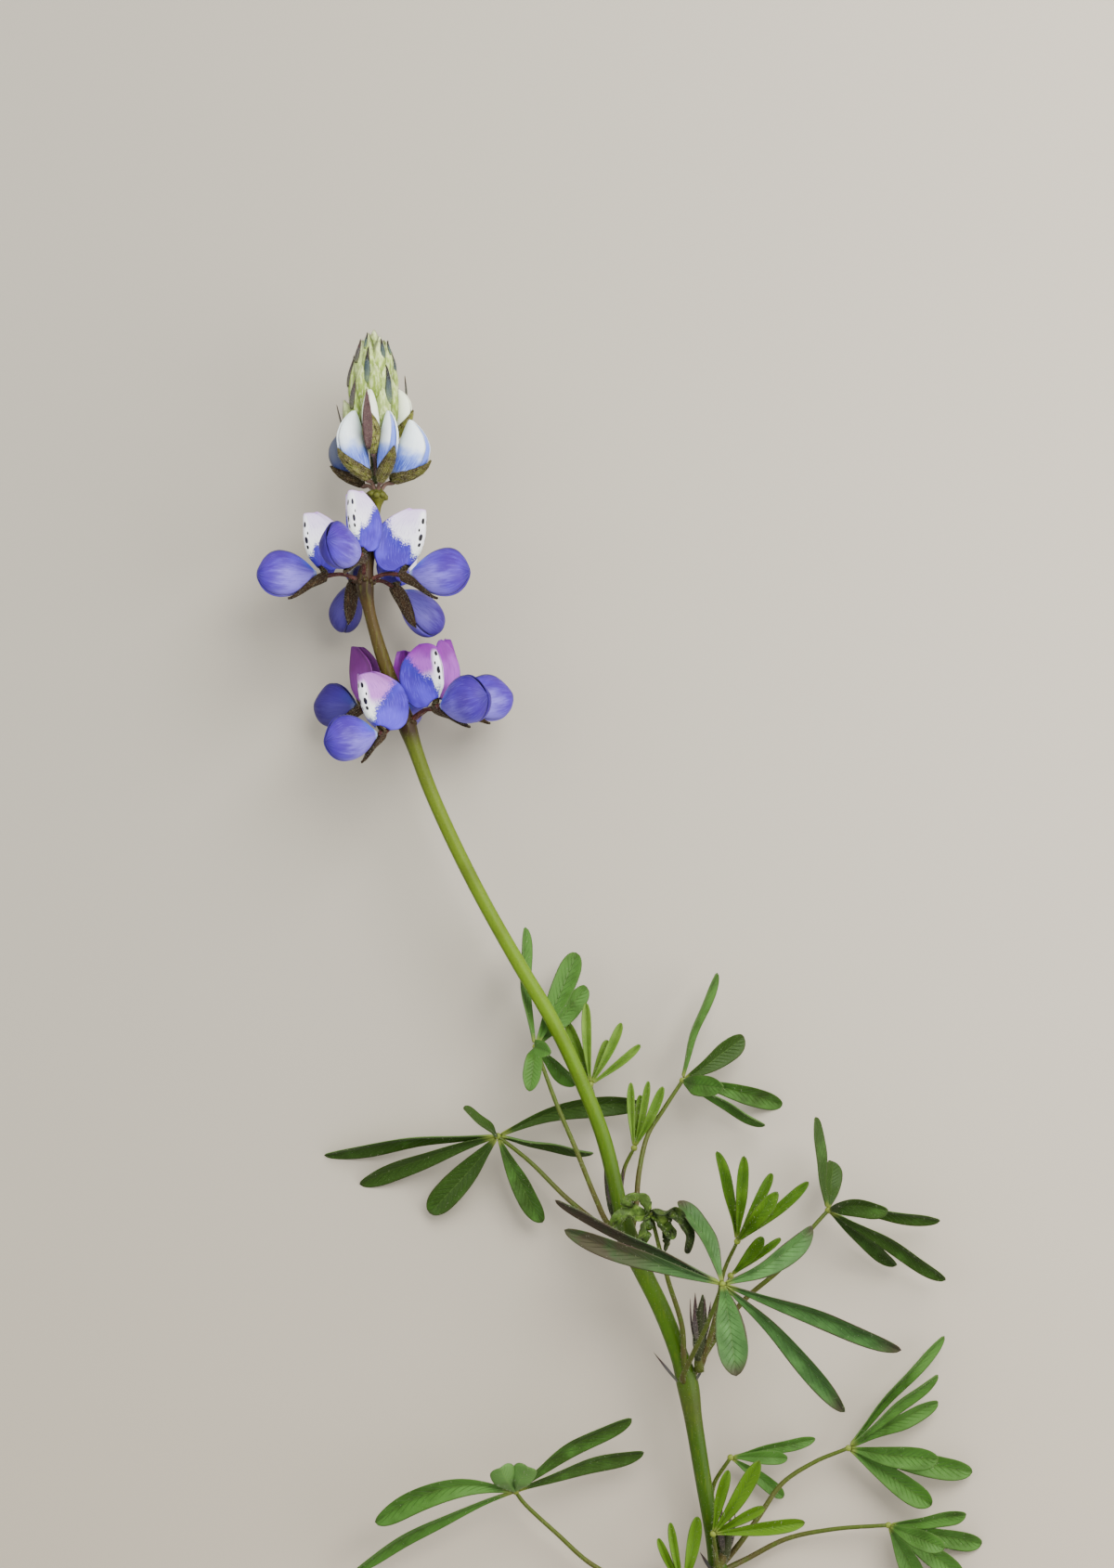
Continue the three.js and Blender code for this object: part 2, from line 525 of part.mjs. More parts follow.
// Large buds below the tip: base, tip, half width and the direction of the banner's side. cup and
// wrap say how much further than the others' a bud's calyx runs up it and round it.
const BUD_RING = [-47.8, 87.8, 15.3];
const BUDS = {
  bud_1: { base: [-50.3, 89.8, 12.9], tip: [-55.6, 98, 10.8], wide: 1.7, up: [0.7, 0.3, -0.3] },
  bud_2: { base: [-49.3, 90.6, 17.2], tip: [-52.7, 101.9, 19], wide: 2.35, up: [1, 0, -0.75] },
  bud_3: { base: [-47.1, 90.2, 17.6], tip: [-45.3, 102, 20.2], wide: 1.8, up: [-0.45, 0, -0.9] },
  bud_4: { base: [-45.1, 90.3, 15.2], tip: [-40.6, 100.1, 17], wide: 2.7, up: [-1, 0.2, -0.35] },
  bud_5: { base: [-44.5, 98.2, 12.4], tip: [-44, 106.5, 12.8], wide: 1.55, up: [-1, 0, -0.5],
    root: [-47.9, 92.6, 15.2] },
  bud_6: { base: [-48.3, 95, 19.4], tip: [-49, 105.8, 20.5], wide: 1.6, up: [0.1, 0, -1],
    root: [-47.9, 90.8, 15.2], cup: 1.5, wrap: 1.6 },
};
// Petals: share of the length, then in half widths how far the banner's side stands from the axis,
// where the keel is, and how far the flanks stand out.
const BUD_PETALS = [
  [0.1, 0.28, -0.6, 0.33], [0.3, 0.48, -1.32, 0.72], [0.52, 0.6, -1.58, 0.86],
  [0.74, 0.68, -1.38, 0.74], [0.92, 0.7, -0.62, 0.44], [1, 0.66, 0.3, 0.14],
];
const BUD_SIDES = 8;
// Calyx: share of the length, depth and half breadth in half widths, reach in degrees.
const BUD_CUP = [[0, 0.1, 0.1, 150], [0.16, 0.9, 0.52, 88], [0.34, 1.44, 0.76, 48], [0.56, 1.62, 0.84, 12]];
const BUD_CUP_ROOM = 0.75; // from the petals' face to the cup's middle
const BUD_CUP_MOST = 150; // degrees that a cup reaches round at most

function budRings(length, wide, extra, frame) {
  return BUD_PETALS.map(([t, fold, keel, breadth], i) => {
    const middle = (wide * (fold + keel)) / 2;
    const high = (wide * (fold - keel)) / 2 + extra;
    const start = i === 0 ? -extra : 0;
    const end = i === BUD_PETALS.length - 1 ? extra : 0;
    const ring = [];
    for (let j = 0; j < BUD_SIDES; j += 1) {
      const angle = (2 * Math.PI * j) / BUD_SIDES;
      ring.push(point(t * length + start + end, (breadth * wide + extra) * Math.cos(angle),
        middle + high * Math.sin(angle)).applyMatrix4(frame));
    }
    return ring;
  });
}

function budBodies({ base, tip, wide, up, root = BUD_RING, cup = 1, wrap = 1 }) {
  const way = point(...tip).sub(point(...base));
  const length = way.length();
  const frame = flowerFrame({ base, forward: way.toArray(), up });
  const lip = BUD_CUP.map(([t, depth, breadth, reach]) => LIP_COLUMNS.map((v) => {
    const angle = radians(Math.min(reach * wrap, BUD_CUP_MOST)) * v;
    return point(t * cup * length, (breadth * wide + BUD_CUP_ROOM) * Math.sin(angle),
      -(depth * wide + BUD_CUP_ROOM) * Math.cos(angle)).applyMatrix4(frame);
  }));
  const green = [
    blade(lip, BLADE),
    pedicel(root, base, way.toArray()),
  ];
  return {
    petals: loft(budRings(length, wide, 0, frame)),
    petalsRoom: loft(budRings(length, wide, GAP, frame)),
    calyx: join(green),
  };
}

// Bud head: a slim core, small buds laid over it like tiles, and slender bracts on their backs.
const HEAD_AXIS = [[-47.8, 90, 15.3], [-47.9, 96, 15.2], [-48.3, 104, 15.1], [-48.4, 112, 15]];
const HEAD_CORE = [0.85, 1.4, 2.1, 1.2];
const HEAD_CORE_SIDES = 5;
const HEAD_MIDDLE = { x: -48.35, z: 15.1 }; // of the small buds
const HEAD_BUD_SIDES = 4;
// Degrees about the axis from +X, foot up the axis, distance out there, length, radius, distance
// out at the tip.
const HEAD_BUDS = [
  [150, 98.4, 2.7, 10.2, 1.7, 3.0], [104, 98.6, 2.6, 9.8, 1.75, 2.7], [60, 98.6, 2.7, 9.8, 1.75, 2.8],
  [14, 98.8, 2.7, 10.6, 1.7, 2.9], [302, 98.6, 2.6, 10.2, 1.75, 2.7], [230, 98.6, 2.6, 10.2, 1.75, 2.7],
  [178, 102.2, 2.4, 9.8, 1.7, 2.5], [128, 102.4, 2.3, 9.4, 1.75, 2.4], [85, 102.6, 2.2, 9.4, 1.75, 2.3],
  [48, 102.3, 2.3, 9.2, 1.7, 2.4], [355, 102.3, 2.4, 9.8, 1.7, 2.6],
  [152, 106, 1.9, 8.6, 1.6, 2.0], [100, 105.8, 1.8, 8.6, 1.65, 1.8], [348, 105.8, 2.0, 7.8, 1.6, 2.4],
  [80, 109.6, 0.4, 6.9, 1.7, 0.4],
];
// Degrees about the axis, foot, distance out there, length, distance out at the tip.
const HEAD_BRACTS = [
  [146, 102.8, 4.1, 6, 3.6], [178, 106.8, 3.9, 5.4, 2.9], [52, 103.4, 3.8, 6.6, 3.3],
  [104, 109, 3.2, 4.2, 2.5], [348, 107.6, 3.5, 5, 2.8],
];
const HEAD_SIDE_BUD = { from: [-50.6, 97, 13.8], to: [-53.6, 104.6, 12.8], radius: 1.6 };
const BRACT_OUTLINE = [[0, 0.5], [0.5, 0.6], [1, 0.12]]; // share of the length, half width

function headPoint(turn, up, out) {
  const angle = radians(turn);
  return point(HEAD_MIDDLE.x + out * Math.cos(angle), up, HEAD_MIDDLE.z + out * Math.sin(angle));
}

function headCore(extra) {
  const points = HEAD_AXIS.map((p) => point(...p));
  return rod(points, HEAD_CORE.map((radius) => radius + extra), HEAD_CORE_SIDES, 1);
}

function smallBud([turn, foot, low, length, radius, high]) {
  const start = headPoint(turn, foot, low);
  const end = headPoint(turn, foot + length, high);
  return spindle(start.toArray(), end.toArray(), radius, HEAD_BUD_SIDES);
}

function bract([turn, foot, low, length, high]) {
  const base = headPoint(turn, foot, low);
  const forward = headPoint(turn, foot + length, high).sub(base);
  const frame = flowerFrame({ base: base.toArray(), forward: forward.toArray(),
    up: [Math.cos(radians(turn)), 0, Math.sin(radians(turn))] });
  const grid = BRACT_OUTLINE.map(([share, wide]) => [-1, 1].map((side) => (
    point(share * length, side * wide, 0))));
  return blade(placed(grid, frame), BLADE);
}

function budHead() {
  const { from, to, radius } = HEAD_SIDE_BUD;
  const parts = [headCore(0), spindle(from, to, radius, HEAD_BUD_SIDES)];
  parts.push(...HEAD_BUDS.map(smallBud), ...HEAD_BRACTS.map(bract));
  return join(parts);
}

// Assembly

const lupin = new THREE.Group();
lupin.position.set(-SPREAD_MIDDLE.x, -SPREAD_MIDDLE.y, 0);

const rooms = []; // the space that placed pieces take up, with the gap round them

function meet(a, b) {
  return [0, 1, 2].every((k) => a.min[k] < b.max[k] && b.min[k] < a.max[k]);
}

function clearOfRooms(body) {
  const box = body.boundingBox();
  const near = rooms.filter((room) => meet(room.boundingBox(), box));
  return near.reduce((rest, room) => rest.subtract(room), body);
}

// The largest of the bodies that a cut has left.
function largest(body) {
  return body.decompose().reduce((best, piece) => (piece.volume() > best.volume() ? piece : best));
}

// Adds a named piece, cut clear of the placed ones. What would reach below the surface is trimmed
// flat, which gives the spots that the stem rests on.
function add(name, body, finish) {
  const trimmed = clearOfRooms(body).trimByPlane([0, 0, 1], 0);
  const { vertProperties, triVerts } = largest(trimmed.simplify(DETAIL)).getMesh();
  const geometry = new THREE.BufferGeometry();
  geometry.setAttribute('position', new THREE.BufferAttribute(new Float32Array(vertProperties), 3));
  geometry.setIndex(new THREE.BufferAttribute(new Uint32Array(triVerts), 1));
  geometry.computeVertexNormals();
  const material = new THREE.MeshStandardMaterial({ ...FINISHES[finish], metalness: 0 });
  const mesh = new THREE.Mesh(geometry, material);
  mesh.name = name;
  lupin.add(mesh);
}

add('stem', stemBody(0), 'stem');
rooms.push(stemBody(GAP));

for (const [name, leaf] of Object.entries(LEAVES)) {
  add(name, join(leafParts(leaf, FOLDED)), leaf.finish);
}
for (const [name, shoot] of Object.entries(SIDE_SHOOTS)) {
  add(name, join(sideShootParts(shoot)), 'sideShoot');
}

const flowers = Object.entries(FLOWERS).map(([name, flower]) => (
  { name, aged: flower.aged, ...flowerBodies(flower) }));
for (const { name, wings, wingsRoom } of flowers) {
  add(`${name}_wings`, wings, 'wings');
  rooms.push(wingsRoom);
}
for (const { name, aged, banner, bannerRoom } of flowers) {
  add(`${name}_banner`, banner, aged ? 'agedBanner' : 'freshBanner');
  rooms.push(bannerRoom);
}
const buds = Object.entries(BUDS).map(([name, bud]) => ({ name, ...budBodies(bud) }));
for (const { name, petals, petalsRoom } of buds) {
  add(`${name}_petals`, petals, 'budPetals');
  rooms.push(petalsRoom);
}
add('bud_head', budHead(), 'budHead');
rooms.push(headCore(GAP));
for (const { name, calyx } of [...flowers, ...buds]) add(`${name}_calyx`, calyx, 'calyx');

export default lupin;
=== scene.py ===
# A picked stem of annual lupin with its flower spike, lying on its back on a pale surface.
# The fine surface of every piece is made here, on the same tables as the part's solids.
# Tables are in millimetres in a measuring frame, which ORIGIN carries into the part's frame.

import math

import bpy
import numpy as np
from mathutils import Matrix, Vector


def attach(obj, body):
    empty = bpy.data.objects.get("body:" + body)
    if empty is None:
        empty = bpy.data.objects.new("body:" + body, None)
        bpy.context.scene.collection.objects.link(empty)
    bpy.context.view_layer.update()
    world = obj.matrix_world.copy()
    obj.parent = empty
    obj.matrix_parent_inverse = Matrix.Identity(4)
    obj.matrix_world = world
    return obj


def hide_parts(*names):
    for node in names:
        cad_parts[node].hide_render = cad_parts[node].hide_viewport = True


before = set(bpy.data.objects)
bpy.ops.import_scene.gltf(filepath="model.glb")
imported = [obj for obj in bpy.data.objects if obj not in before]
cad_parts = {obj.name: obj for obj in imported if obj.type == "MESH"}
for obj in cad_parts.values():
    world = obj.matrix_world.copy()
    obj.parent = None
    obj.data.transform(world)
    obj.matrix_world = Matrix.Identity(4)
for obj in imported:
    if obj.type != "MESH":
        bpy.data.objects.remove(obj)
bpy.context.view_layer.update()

MM = 0.001
ORIGIN = np.array([5.32, 1.31, 0.0])
LOWEST = 0.02  # no skin comes nearer to the surface
LOWEST_SOFTNESS = 0.02  # how gently skin bends up from there, in square millimetres
DOWN_CLEAR = (0.4, 1.4)  # down grows in between these heights above the surface
RIBS = 7  # ridges round the stem
CHANCE = np.random.default_rng(11)


def unit(vector):
    vector = np.asarray(vector, float)
    return vector / np.linalg.norm(vector, axis=-1, keepdims=True)


def turned(vector, axis, degrees):
    """A vector turned about a unit axis."""
    angle = math.radians(degrees)
    return (vector * math.cos(angle) + np.cross(axis, vector) * math.sin(angle)
            + axis * np.dot(axis, vector) * (1 - math.cos(angle)))


def ease(value, low, high):
    """0 below low, 1 above high, with a smooth step between them."""
    t = np.clip((np.asarray(value, float) - low) / (high - low), 0, 1)
    return t * t * (3 - 2 * t)


def way_out(degrees):
    """The way out from an upright stem at a turn about it."""
    angle = math.radians(degrees)
    return np.array([math.cos(angle), 0.0, math.sin(angle)])


def angles_round(sides):
    return np.arange(sides) * 2 * math.pi / sides


def grid_of(x, y, z):
    """The points of a sheet or of rings, from coordinates along its rows, its columns or both."""
    return np.stack(np.broadcast_arrays(x, y, z), -1)


def smooth_rows(rows, steps):
    """Rows on a smooth curve through the given ones, whose first three numbers say how far apart
    they are."""
    rows = np.array(rows, float)
    rows = np.vstack([2 * rows[0] - rows[1], rows, 2 * rows[-1] - rows[-2]])
    out = []
    for k in range(1, len(rows) - 2):
        a, b, c, d = rows[k - 1:k + 3]
        gaps = [max(np.linalg.norm(q[:3] - p[:3]) ** 0.5, 1e-4) for p, q in ((a, b), (b, c), (c, d))]
        leave = (b - a) / gaps[0] - (c - a) / (gaps[0] + gaps[1]) + (c - b) / gaps[1]
        arrive = (c - b) / gaps[1] - (d - b) / (gaps[1] + gaps[2]) + (d - c) / gaps[2]
        leave, arrive = leave * gaps[1], arrive * gaps[1]
        last = k == len(rows) - 3
        for t in np.linspace(0, 1, steps + 1 if last else steps, endpoint=last):
            out.append((2 * t**3 - 3 * t**2 + 1) * b + (t**3 - 2 * t**2 + t) * leave
                       + (3 * t**2 - 2 * t**3) * c + (t**3 - t**2) * arrive)
    return np.array(out)


# Skins: points, faces and what the finishes read

class Skin:
    """One piece, gathered part by part. Each point has a pattern (across, along, side), a tone and
    a share of down, which says how thickly hairs stand there."""

    def __init__(self):
        self.points, self.faces, self.pattern, self.tone, self.down, self.finish = [], [], [], [], [], []
        self.count = 0

    def add(self, points, faces, pattern, finish, tone=0.0, down=0.0):
        size = len(points)
        points = np.array(points, float)
        low = points[:, 2] - LOWEST
        points[:, 2] = LOWEST + 0.5 * (low + np.sqrt(low * low + LOWEST_SOFTNESS))
        self.points.append(points)
        self.faces.extend(tuple(int(i) + self.count for i in face) for face in faces)
        self.pattern.append(pattern)
        self.tone.append(np.full(size, float(tone)))
        self.down.append(np.broadcast_to(down, size) * ease(points[:, 2], *DOWN_CLEAR))
        self.finish.extend([finish] * len(faces))
        self.count += size

    def sheet(self, grid, upper, across, along, finish, tone=0.0, down=0.0, lower=None, kept=1.0):
        """A closed blade about a grid, which thins out to nothing at its border. upper and lower say
        how far its two sides stand off, and kept is the share of its down that the upper side keeps."""
        rows, columns = grid.shape[:2]
        normal = unit(np.cross(np.gradient(grid, axis=1), np.gradient(grid, axis=0)) + 1e-12)
        inner = np.zeros((rows, columns))
        inner[1:-1, 1:-1] = 1
        top = grid + normal * (upper * inner)[..., None]
        bottom = grid - normal * ((upper if lower is None else lower) * inner)[..., None]
        over = np.arange(rows * columns).reshape(rows, columns)
        under = over.copy()
        under[1:-1, 1:-1] = over.size + np.arange((rows - 2) * (columns - 2)).reshape(rows - 2, columns - 2)
        points = np.vstack([top.reshape(-1, 3), bottom[1:-1, 1:-1].reshape(-1, 3)])
        across, along = (np.broadcast_to(a, (rows, columns)) for a in (across, along))
        sides = np.ones((rows, columns))
        upper_pattern = np.stack([across, along, sides], -1).reshape(-1, 3)
        lower_pattern = np.stack([across, along, -sides], -1)[1:-1, 1:-1].reshape(-1, 3)
        down = np.broadcast_to(down, (rows, columns))
        down = np.concatenate([down.reshape(-1) * kept, down[1:-1, 1:-1].reshape(-1)])
        faces = np.vstack([quads(over), quads(under)[:, ::-1]])
        self.add(points, faces, np.vstack([upper_pattern, lower_pattern]), finish, tone, down)

    def rings(self, rings, finish, tone=0.0, down=0.0, ends=(0.0, 0.0)):
        """A closed body through rings of points. ends says how far its two ends bulge. The pattern's
        across is 1 at the first point of a ring and -1 at the far side."""
        count, sides = rings.shape[:2]
        index = np.arange(count * sides).reshape(count, sides)
        index = np.hstack([index, index[:, :1]])
        first, last = rings[0].mean(0), rings[-1].mean(0)
        first = first + unit(first - rings[1].mean(0)) * ends[0]
        last = last + unit(last - rings[-2].mean(0)) * ends[1]
        points = np.vstack([rings.reshape(-1, 3), first, last])
        faces = [tuple(q) for q in quads(index)]
        for j in range(sides):
            k = (j + 1) % sides
            faces.append((count * sides, k, j))
            faces.append((count * sides + 1, (count - 1) * sides + j, (count - 1) * sides + k))
        around, along = np.meshgrid(np.cos(angles_round(sides)), np.linspace(0, 1, count))
        pattern = np.stack([around, along, np.ones_like(along)], -1).reshape(-1, 3)
        pattern = np.vstack([pattern, [0, 0, 1], [0, 1, 1]])
        self.add(points, faces, pattern, finish, tone, down)

    def tube(self, rows, sides, steps, finish, tone=0.0, down=0.0, ribs=0.0, ends=(0.0, 0.0)):
        """A rod along rows of x, y, z, radius. ribs is how deep the ridges along it are, as a share
        of its radius."""
        rows = smooth_rows(rows, steps)
        along = unit(np.gradient(rows[:, :3], axis=0))
        across = unit(np.cross(along[0], [0.3, 0.2, 1.0]))
        angles = angles_round(sides)
        rings = []
        for (x, y, z, radius), way in zip(rows, along):
            across = unit(across - way * np.dot(across, way))
            other = np.cross(way, across)
            reach = radius * (1 + ribs * np.cos(angles * RIBS))
            rings.append(np.array([x, y, z]) + np.outer(reach * np.cos(angles), across)
                         + np.outer(reach * np.sin(angles), other))
        self.rings(np.array(rings), finish, tone, down, ends)

    def build(self, name, slot, finishes, hairs=None):
        """The finished piece, which stands for the part's solid of that name."""
        mesh = bpy.data.meshes.new("fine_" + name)
        points = (np.vstack(self.points) + ORIGIN) * MM
        mesh.from_pydata(points.tolist(), [], self.faces)
        for finish in finishes:
            mesh.materials.append(finish)
        mesh.polygons.foreach_set("material_index", self.finish)
        mesh.polygons.foreach_set("use_smooth", [True] * len(mesh.polygons))
        for label, kind, field, values in (("pattern", "FLOAT_VECTOR", "vector", self.pattern),
                                           ("tone", "FLOAT", "value", self.tone),
                                           ("down", "FLOAT", "value", self.down)):
            values = np.concatenate(values).astype(np.float32).ravel()
            mesh.attributes.new(label, kind, "POINT").data.foreach_set(field, values)
        mesh.update()
        piece = bpy.data.objects.new("fine_" + name, mesh)
        bpy.context.scene.collection.objects.link(piece)
        if hairs:
            grow_hairs(piece, **hairs)
        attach(piece, "root")
        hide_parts(name)
        return piece


def quads(index):
    """The four-sided faces over a grid of point numbers."""
    return np.stack([index[:-1, :-1], index[:-1, 1:], index[1:, 1:], index[1:, :-1]], -1).reshape(-1, 4)


# Hairs

def lay(tree, kind, *inputs, **settings):
    """A new node. Each of its inputs is given as the socket and the value, or the output, for it."""
    node = tree.nodes.new(kind)
    for name, value in settings.items():
        setattr(node, name, value)
    for name, value in inputs:
        if isinstance(value, bpy.types.NodeSocket):
            tree.links.new(value, node.inputs[name])
        else:
            node.inputs[name].default_value = value
    return node


def hair_tree():
    """Grows slim hairs where the mesh has down, leaning the way that they are told."""
    tree = bpy.data.node_groups.new("down_hairs", "GeometryNodeTree")
    tree.interface.new_socket("Geometry", in_out="OUTPUT", socket_type="NodeSocketGeometry")
    for name, kind in (("Geometry", "Geometry"), ("Hairs per square metre", "Float"), ("Length", "Float"),
                       ("Radius", "Float"), ("Lean", "Vector"), ("Spread", "Float"), ("Seed", "Int"),
                       ("Hair finish", "Material")):
        tree.interface.new_socket(name, in_out="INPUT", socket_type="NodeSocket" + kind)

    def add(kind, *inputs, **settings):
        return lay(tree, kind, *inputs, **settings).outputs

    given = add("NodeGroupInput")
    seed = ("Seed", given["Seed"])
    down = add("GeometryNodeInputNamedAttribute", ("Name", "down"), data_type="FLOAT")
    density = add("ShaderNodeMath", (0, down["Attribute"]), (1, given["Hairs per square metre"]),
                  operation="MULTIPLY")
    roots = add("GeometryNodeDistributePointsOnFaces", ("Mesh", given["Geometry"]),
                ("Density", density[0]), seed)
    stray = add("FunctionNodeRandomValue", ("Min", (-1, -1, -1)), ("Max", (1, 1, 1)), seed,
                data_type="FLOAT_VECTOR")
    strayed = add("ShaderNodeVectorMath", (0, stray[0]), ("Scale", given["Spread"]), operation="SCALE")
    leaning = add("ShaderNodeVectorMath", (0, roots["Normal"]), (1, given["Lean"]), operation="ADD")
    way = add("ShaderNodeVectorMath", (0, leaning[0]), (1, strayed[0]), operation="ADD")
    aim = add("FunctionNodeAlignRotationToVector", ("Vector", way[0]), axis="Z")
    share = add("FunctionNodeRandomValue", (2, 0.5), (3, 1.1), seed, data_type="FLOAT")
    length = add("ShaderNodeMath", (0, share[1]), (1, given["Length"]), operation="MULTIPLY")
    size = add("ShaderNodeCombineXYZ", ("X", given["Radius"]), ("Y", given["Radius"]), ("Z", length[0]))
    hair = add("GeometryNodeMeshCone", ("Vertices", 3), ("Radius Top", 0.0), ("Radius Bottom", 1.0),
               ("Depth", 1.0))
    hairs = add("GeometryNodeInstanceOnPoints", ("Points", roots["Points"]), ("Instance", hair["Mesh"]),
                ("Rotation", aim["Rotation"]), ("Scale", size[0]))
    real = add("GeometryNodeRealizeInstances", ("Geometry", hairs["Instances"]))
    finished = add("GeometryNodeSetMaterial", ("Geometry", real["Geometry"]),
                   ("Material", given["Hair finish"]))
    both = add("GeometryNodeJoinGeometry", ("Geometry", finished["Geometry"]),
               ("Geometry", given["Geometry"]))
    add("NodeGroupOutput", ("Geometry", both["Geometry"]))
    return tree


def grow_hairs(piece, density, length, radius=0.028, lean=(0, 0, 0), spread=0.35, seed=1):
    """Adds hairs to a piece, so many on a square millimetre where its down is 1."""
    modifier = piece.modifiers.new("down", "NODES")
    modifier.node_group = HAIRS
    settings = {"Hairs per square metre": density * 1e6, "Length": length * MM, "Radius": radius * MM,
                "Lean": lean, "Spread": spread, "Seed": seed, "Hair finish": FINISH["hair"]}
    for socket in HAIRS.interface.items_tree:
        if socket.item_type == "SOCKET" and socket.in_out == "INPUT" and socket.name in settings:
            modifier[socket.identifier] = settings[socket.name]
    bpy.context.view_layer.update()
    ready = piece.evaluated_get(bpy.context.evaluated_depsgraph_get())
    grown = bpy.data.meshes.new_from_object(ready)
    piece.modifiers.clear()
    bare, piece.data = piece.data, grown
    grown.name = bare.name + "_haired"
    bpy.data.meshes.remove(bare)


# Finishes. Colours are those of the surface itself, which the light makes paler, except where a mark is
# noted as painted shade or painted light.

def tint(colour):
    """A colour from 0 to 255, as paint is mixed on a screen, in linear light. What another node
    makes passes as it is."""
    if isinstance(colour, bpy.types.NodeSocket):
        return colour
    levels = [level / 255 for level in colour]
    return tuple(c / 12.92 if c <= 0.04045 else ((c + 0.055) / 1.055) ** 2.4 for c in levels) + (1.0,)


class Finish:
    """A material whose nodes are laid one by one, and whose colour is washed over step by step."""

    def __init__(self, name, gloss=0.2, sheen=0.0, nap=0.3):
        self.material = bpy.data.materials.new(name)
        self.material.use_nodes = True
        self.material.node_tree.nodes.clear()
        self.gloss, self.sheen, self.nap = gloss, sheen, nap
        self.place = self.node("ShaderNodeTexCoord").outputs["Object"]
        self.colour = None

    def node(self, kind, *inputs, **settings):
        return lay(self.material.node_tree, kind, *inputs, **settings)

    def maths(self, operation, *values):
        return self.node("ShaderNodeMath", *enumerate(values), operation=operation).outputs[0]

    def times(self, first, second):
        return self.maths("MULTIPLY", first, second)

    def plus(self, first, second):
        return self.maths("ADD", first, second)

    def minus(self, first, second):
        return self.maths("SUBTRACT", first, second)

    def most(self, first, second):
        return self.maths("MAXIMUM", first, second)

    def size(self, value):
        return self.maths("ABSOLUTE", value)

    def scaled(self, value, scale, start):
        return self.maths("MULTIPLY_ADD", value, scale, start)

    def mix(self, share, first, second):
        return self.node("ShaderNodeMix", (0, share), (6, tint(first)), (7, tint(second)),
                         data_type="RGBA").outputs[2]

    def wash(self, share, colour):
        """Lays a share of another colour over the one so far."""
        self.colour = self.mix(share, self.colour, colour)

    def ramp(self, value, *stops):
        node = self.node("ShaderNodeValToRGB", (0, value))
        colours = node.color_ramp.elements
        while len(colours) < len(stops):
            colours.new(1.0)
        for element, (place, colour) in zip(colours, stops):
            element.position = place
            element.color = tint(colour)
        return node.outputs[0]

    def step(self, value, low, high, strength=1.0):
        """0 below low and strength above high, with a smooth step between them."""
        return self.node("ShaderNodeMapRange", (0, value), (1, low), (2, high), (4, strength),
                         interpolation_type="SMOOTHSTEP").outputs[0]

    def noise(self, scale, detail=2.0, place=None, stretch=None):
        """A cloudy pattern with so many patches in a metre, about 0.5 in the middle."""
        place = place or self.place
        if stretch:
            place = self.node("ShaderNodeVectorMath", (0, place), (1, stretch),
                              operation="MULTIPLY").outputs[0]
        return self.node("ShaderNodeTexNoise", ("Vector", place), ("Scale", scale),
                         ("Detail", detail)).outputs["Fac"]

    def rays(self, across, along, many, few, scale=2.6):
        """Fine streaks that run along a petal."""
        place = self.node("ShaderNodeCombineXYZ", (0, self.times(across, many)), (1, self.times(along, few)))
        return self.noise(scale, 3.0, place=place.outputs[0])

    def attribute(self, name, output):
        return self.node("ShaderNodeAttribute", attribute_name=name).outputs[output]

    def pattern(self):
        """The piece's own across, along and side."""
        return self.node("ShaderNodeSeparateXYZ", (0, self.attribute("pattern", "Vector"))).outputs

    def tone(self, sign=1.0):
        """How far a point's tone goes one way, from 0."""
        return self.most(self.times(self.attribute("tone", "Fac"), sign), 0.0)

    def axis(self, letter):
        return self.node("ShaderNodeSeparateXYZ", (0, self.place)).outputs[letter]

    def done(self, roughness, height=None, depth=0.0, glow=0.0):
        """The material, with a relief of height that is depth millimetres deep. glow is the share
        of light that passes through a thin leaf or petal."""
        skin = [("Base Color", self.colour), ("Roughness", roughness), ("Specular IOR Level", self.gloss)]
        if self.sheen:
            skin += [("Sheen Weight", self.sheen), ("Sheen Roughness", self.nap)]
        if height is not None:
            bump = self.node("ShaderNodeBump", ("Distance", depth * MM), ("Height", height))
            skin.append(("Normal", bump.outputs[0]))
        surface = self.node("ShaderNodeBsdfPrincipled", *skin).outputs[0]
        if glow:
            through = self.node("ShaderNodeBsdfTranslucent", ("Color", self.colour)).outputs[0]
            surface = self.node("ShaderNodeMixShader", (0, glow), (1, surface), (2, through)).outputs[0]
        self.node("ShaderNodeOutputMaterial", ("Surface", surface))
        return self.material


STEM_COLOURS = [  # height as a share, and the colour there: darker rings where the flowers sit
    (0.0, (52, 86, 0)), (0.11, (48, 80, 0)), (0.19, (46, 74, 0)), (0.215, (60, 74, 14)),
    (0.25, (52, 84, 0)), (0.3, (62, 94, 4)), (0.325, (56, 74, 12)), (0.36, (46, 74, 0)),
    (0.5, (88, 120, 4)), (0.66, (84, 102, 12)), (0.692, (74, 84, 14)), (0.703, (44, 28, 14)),
    (0.716, (50, 34, 12)), (0.75, (66, 54, 10)), (0.794, (60, 44, 14)), (0.803, (38, 24, 12)),
    (0.815, (50, 30, 16)), (0.84, (56, 42, 14)), (0.868, (84, 86, 20)), (0.885, (56, 62, 34)),
    (0.94, (36, 38, 26)),
]


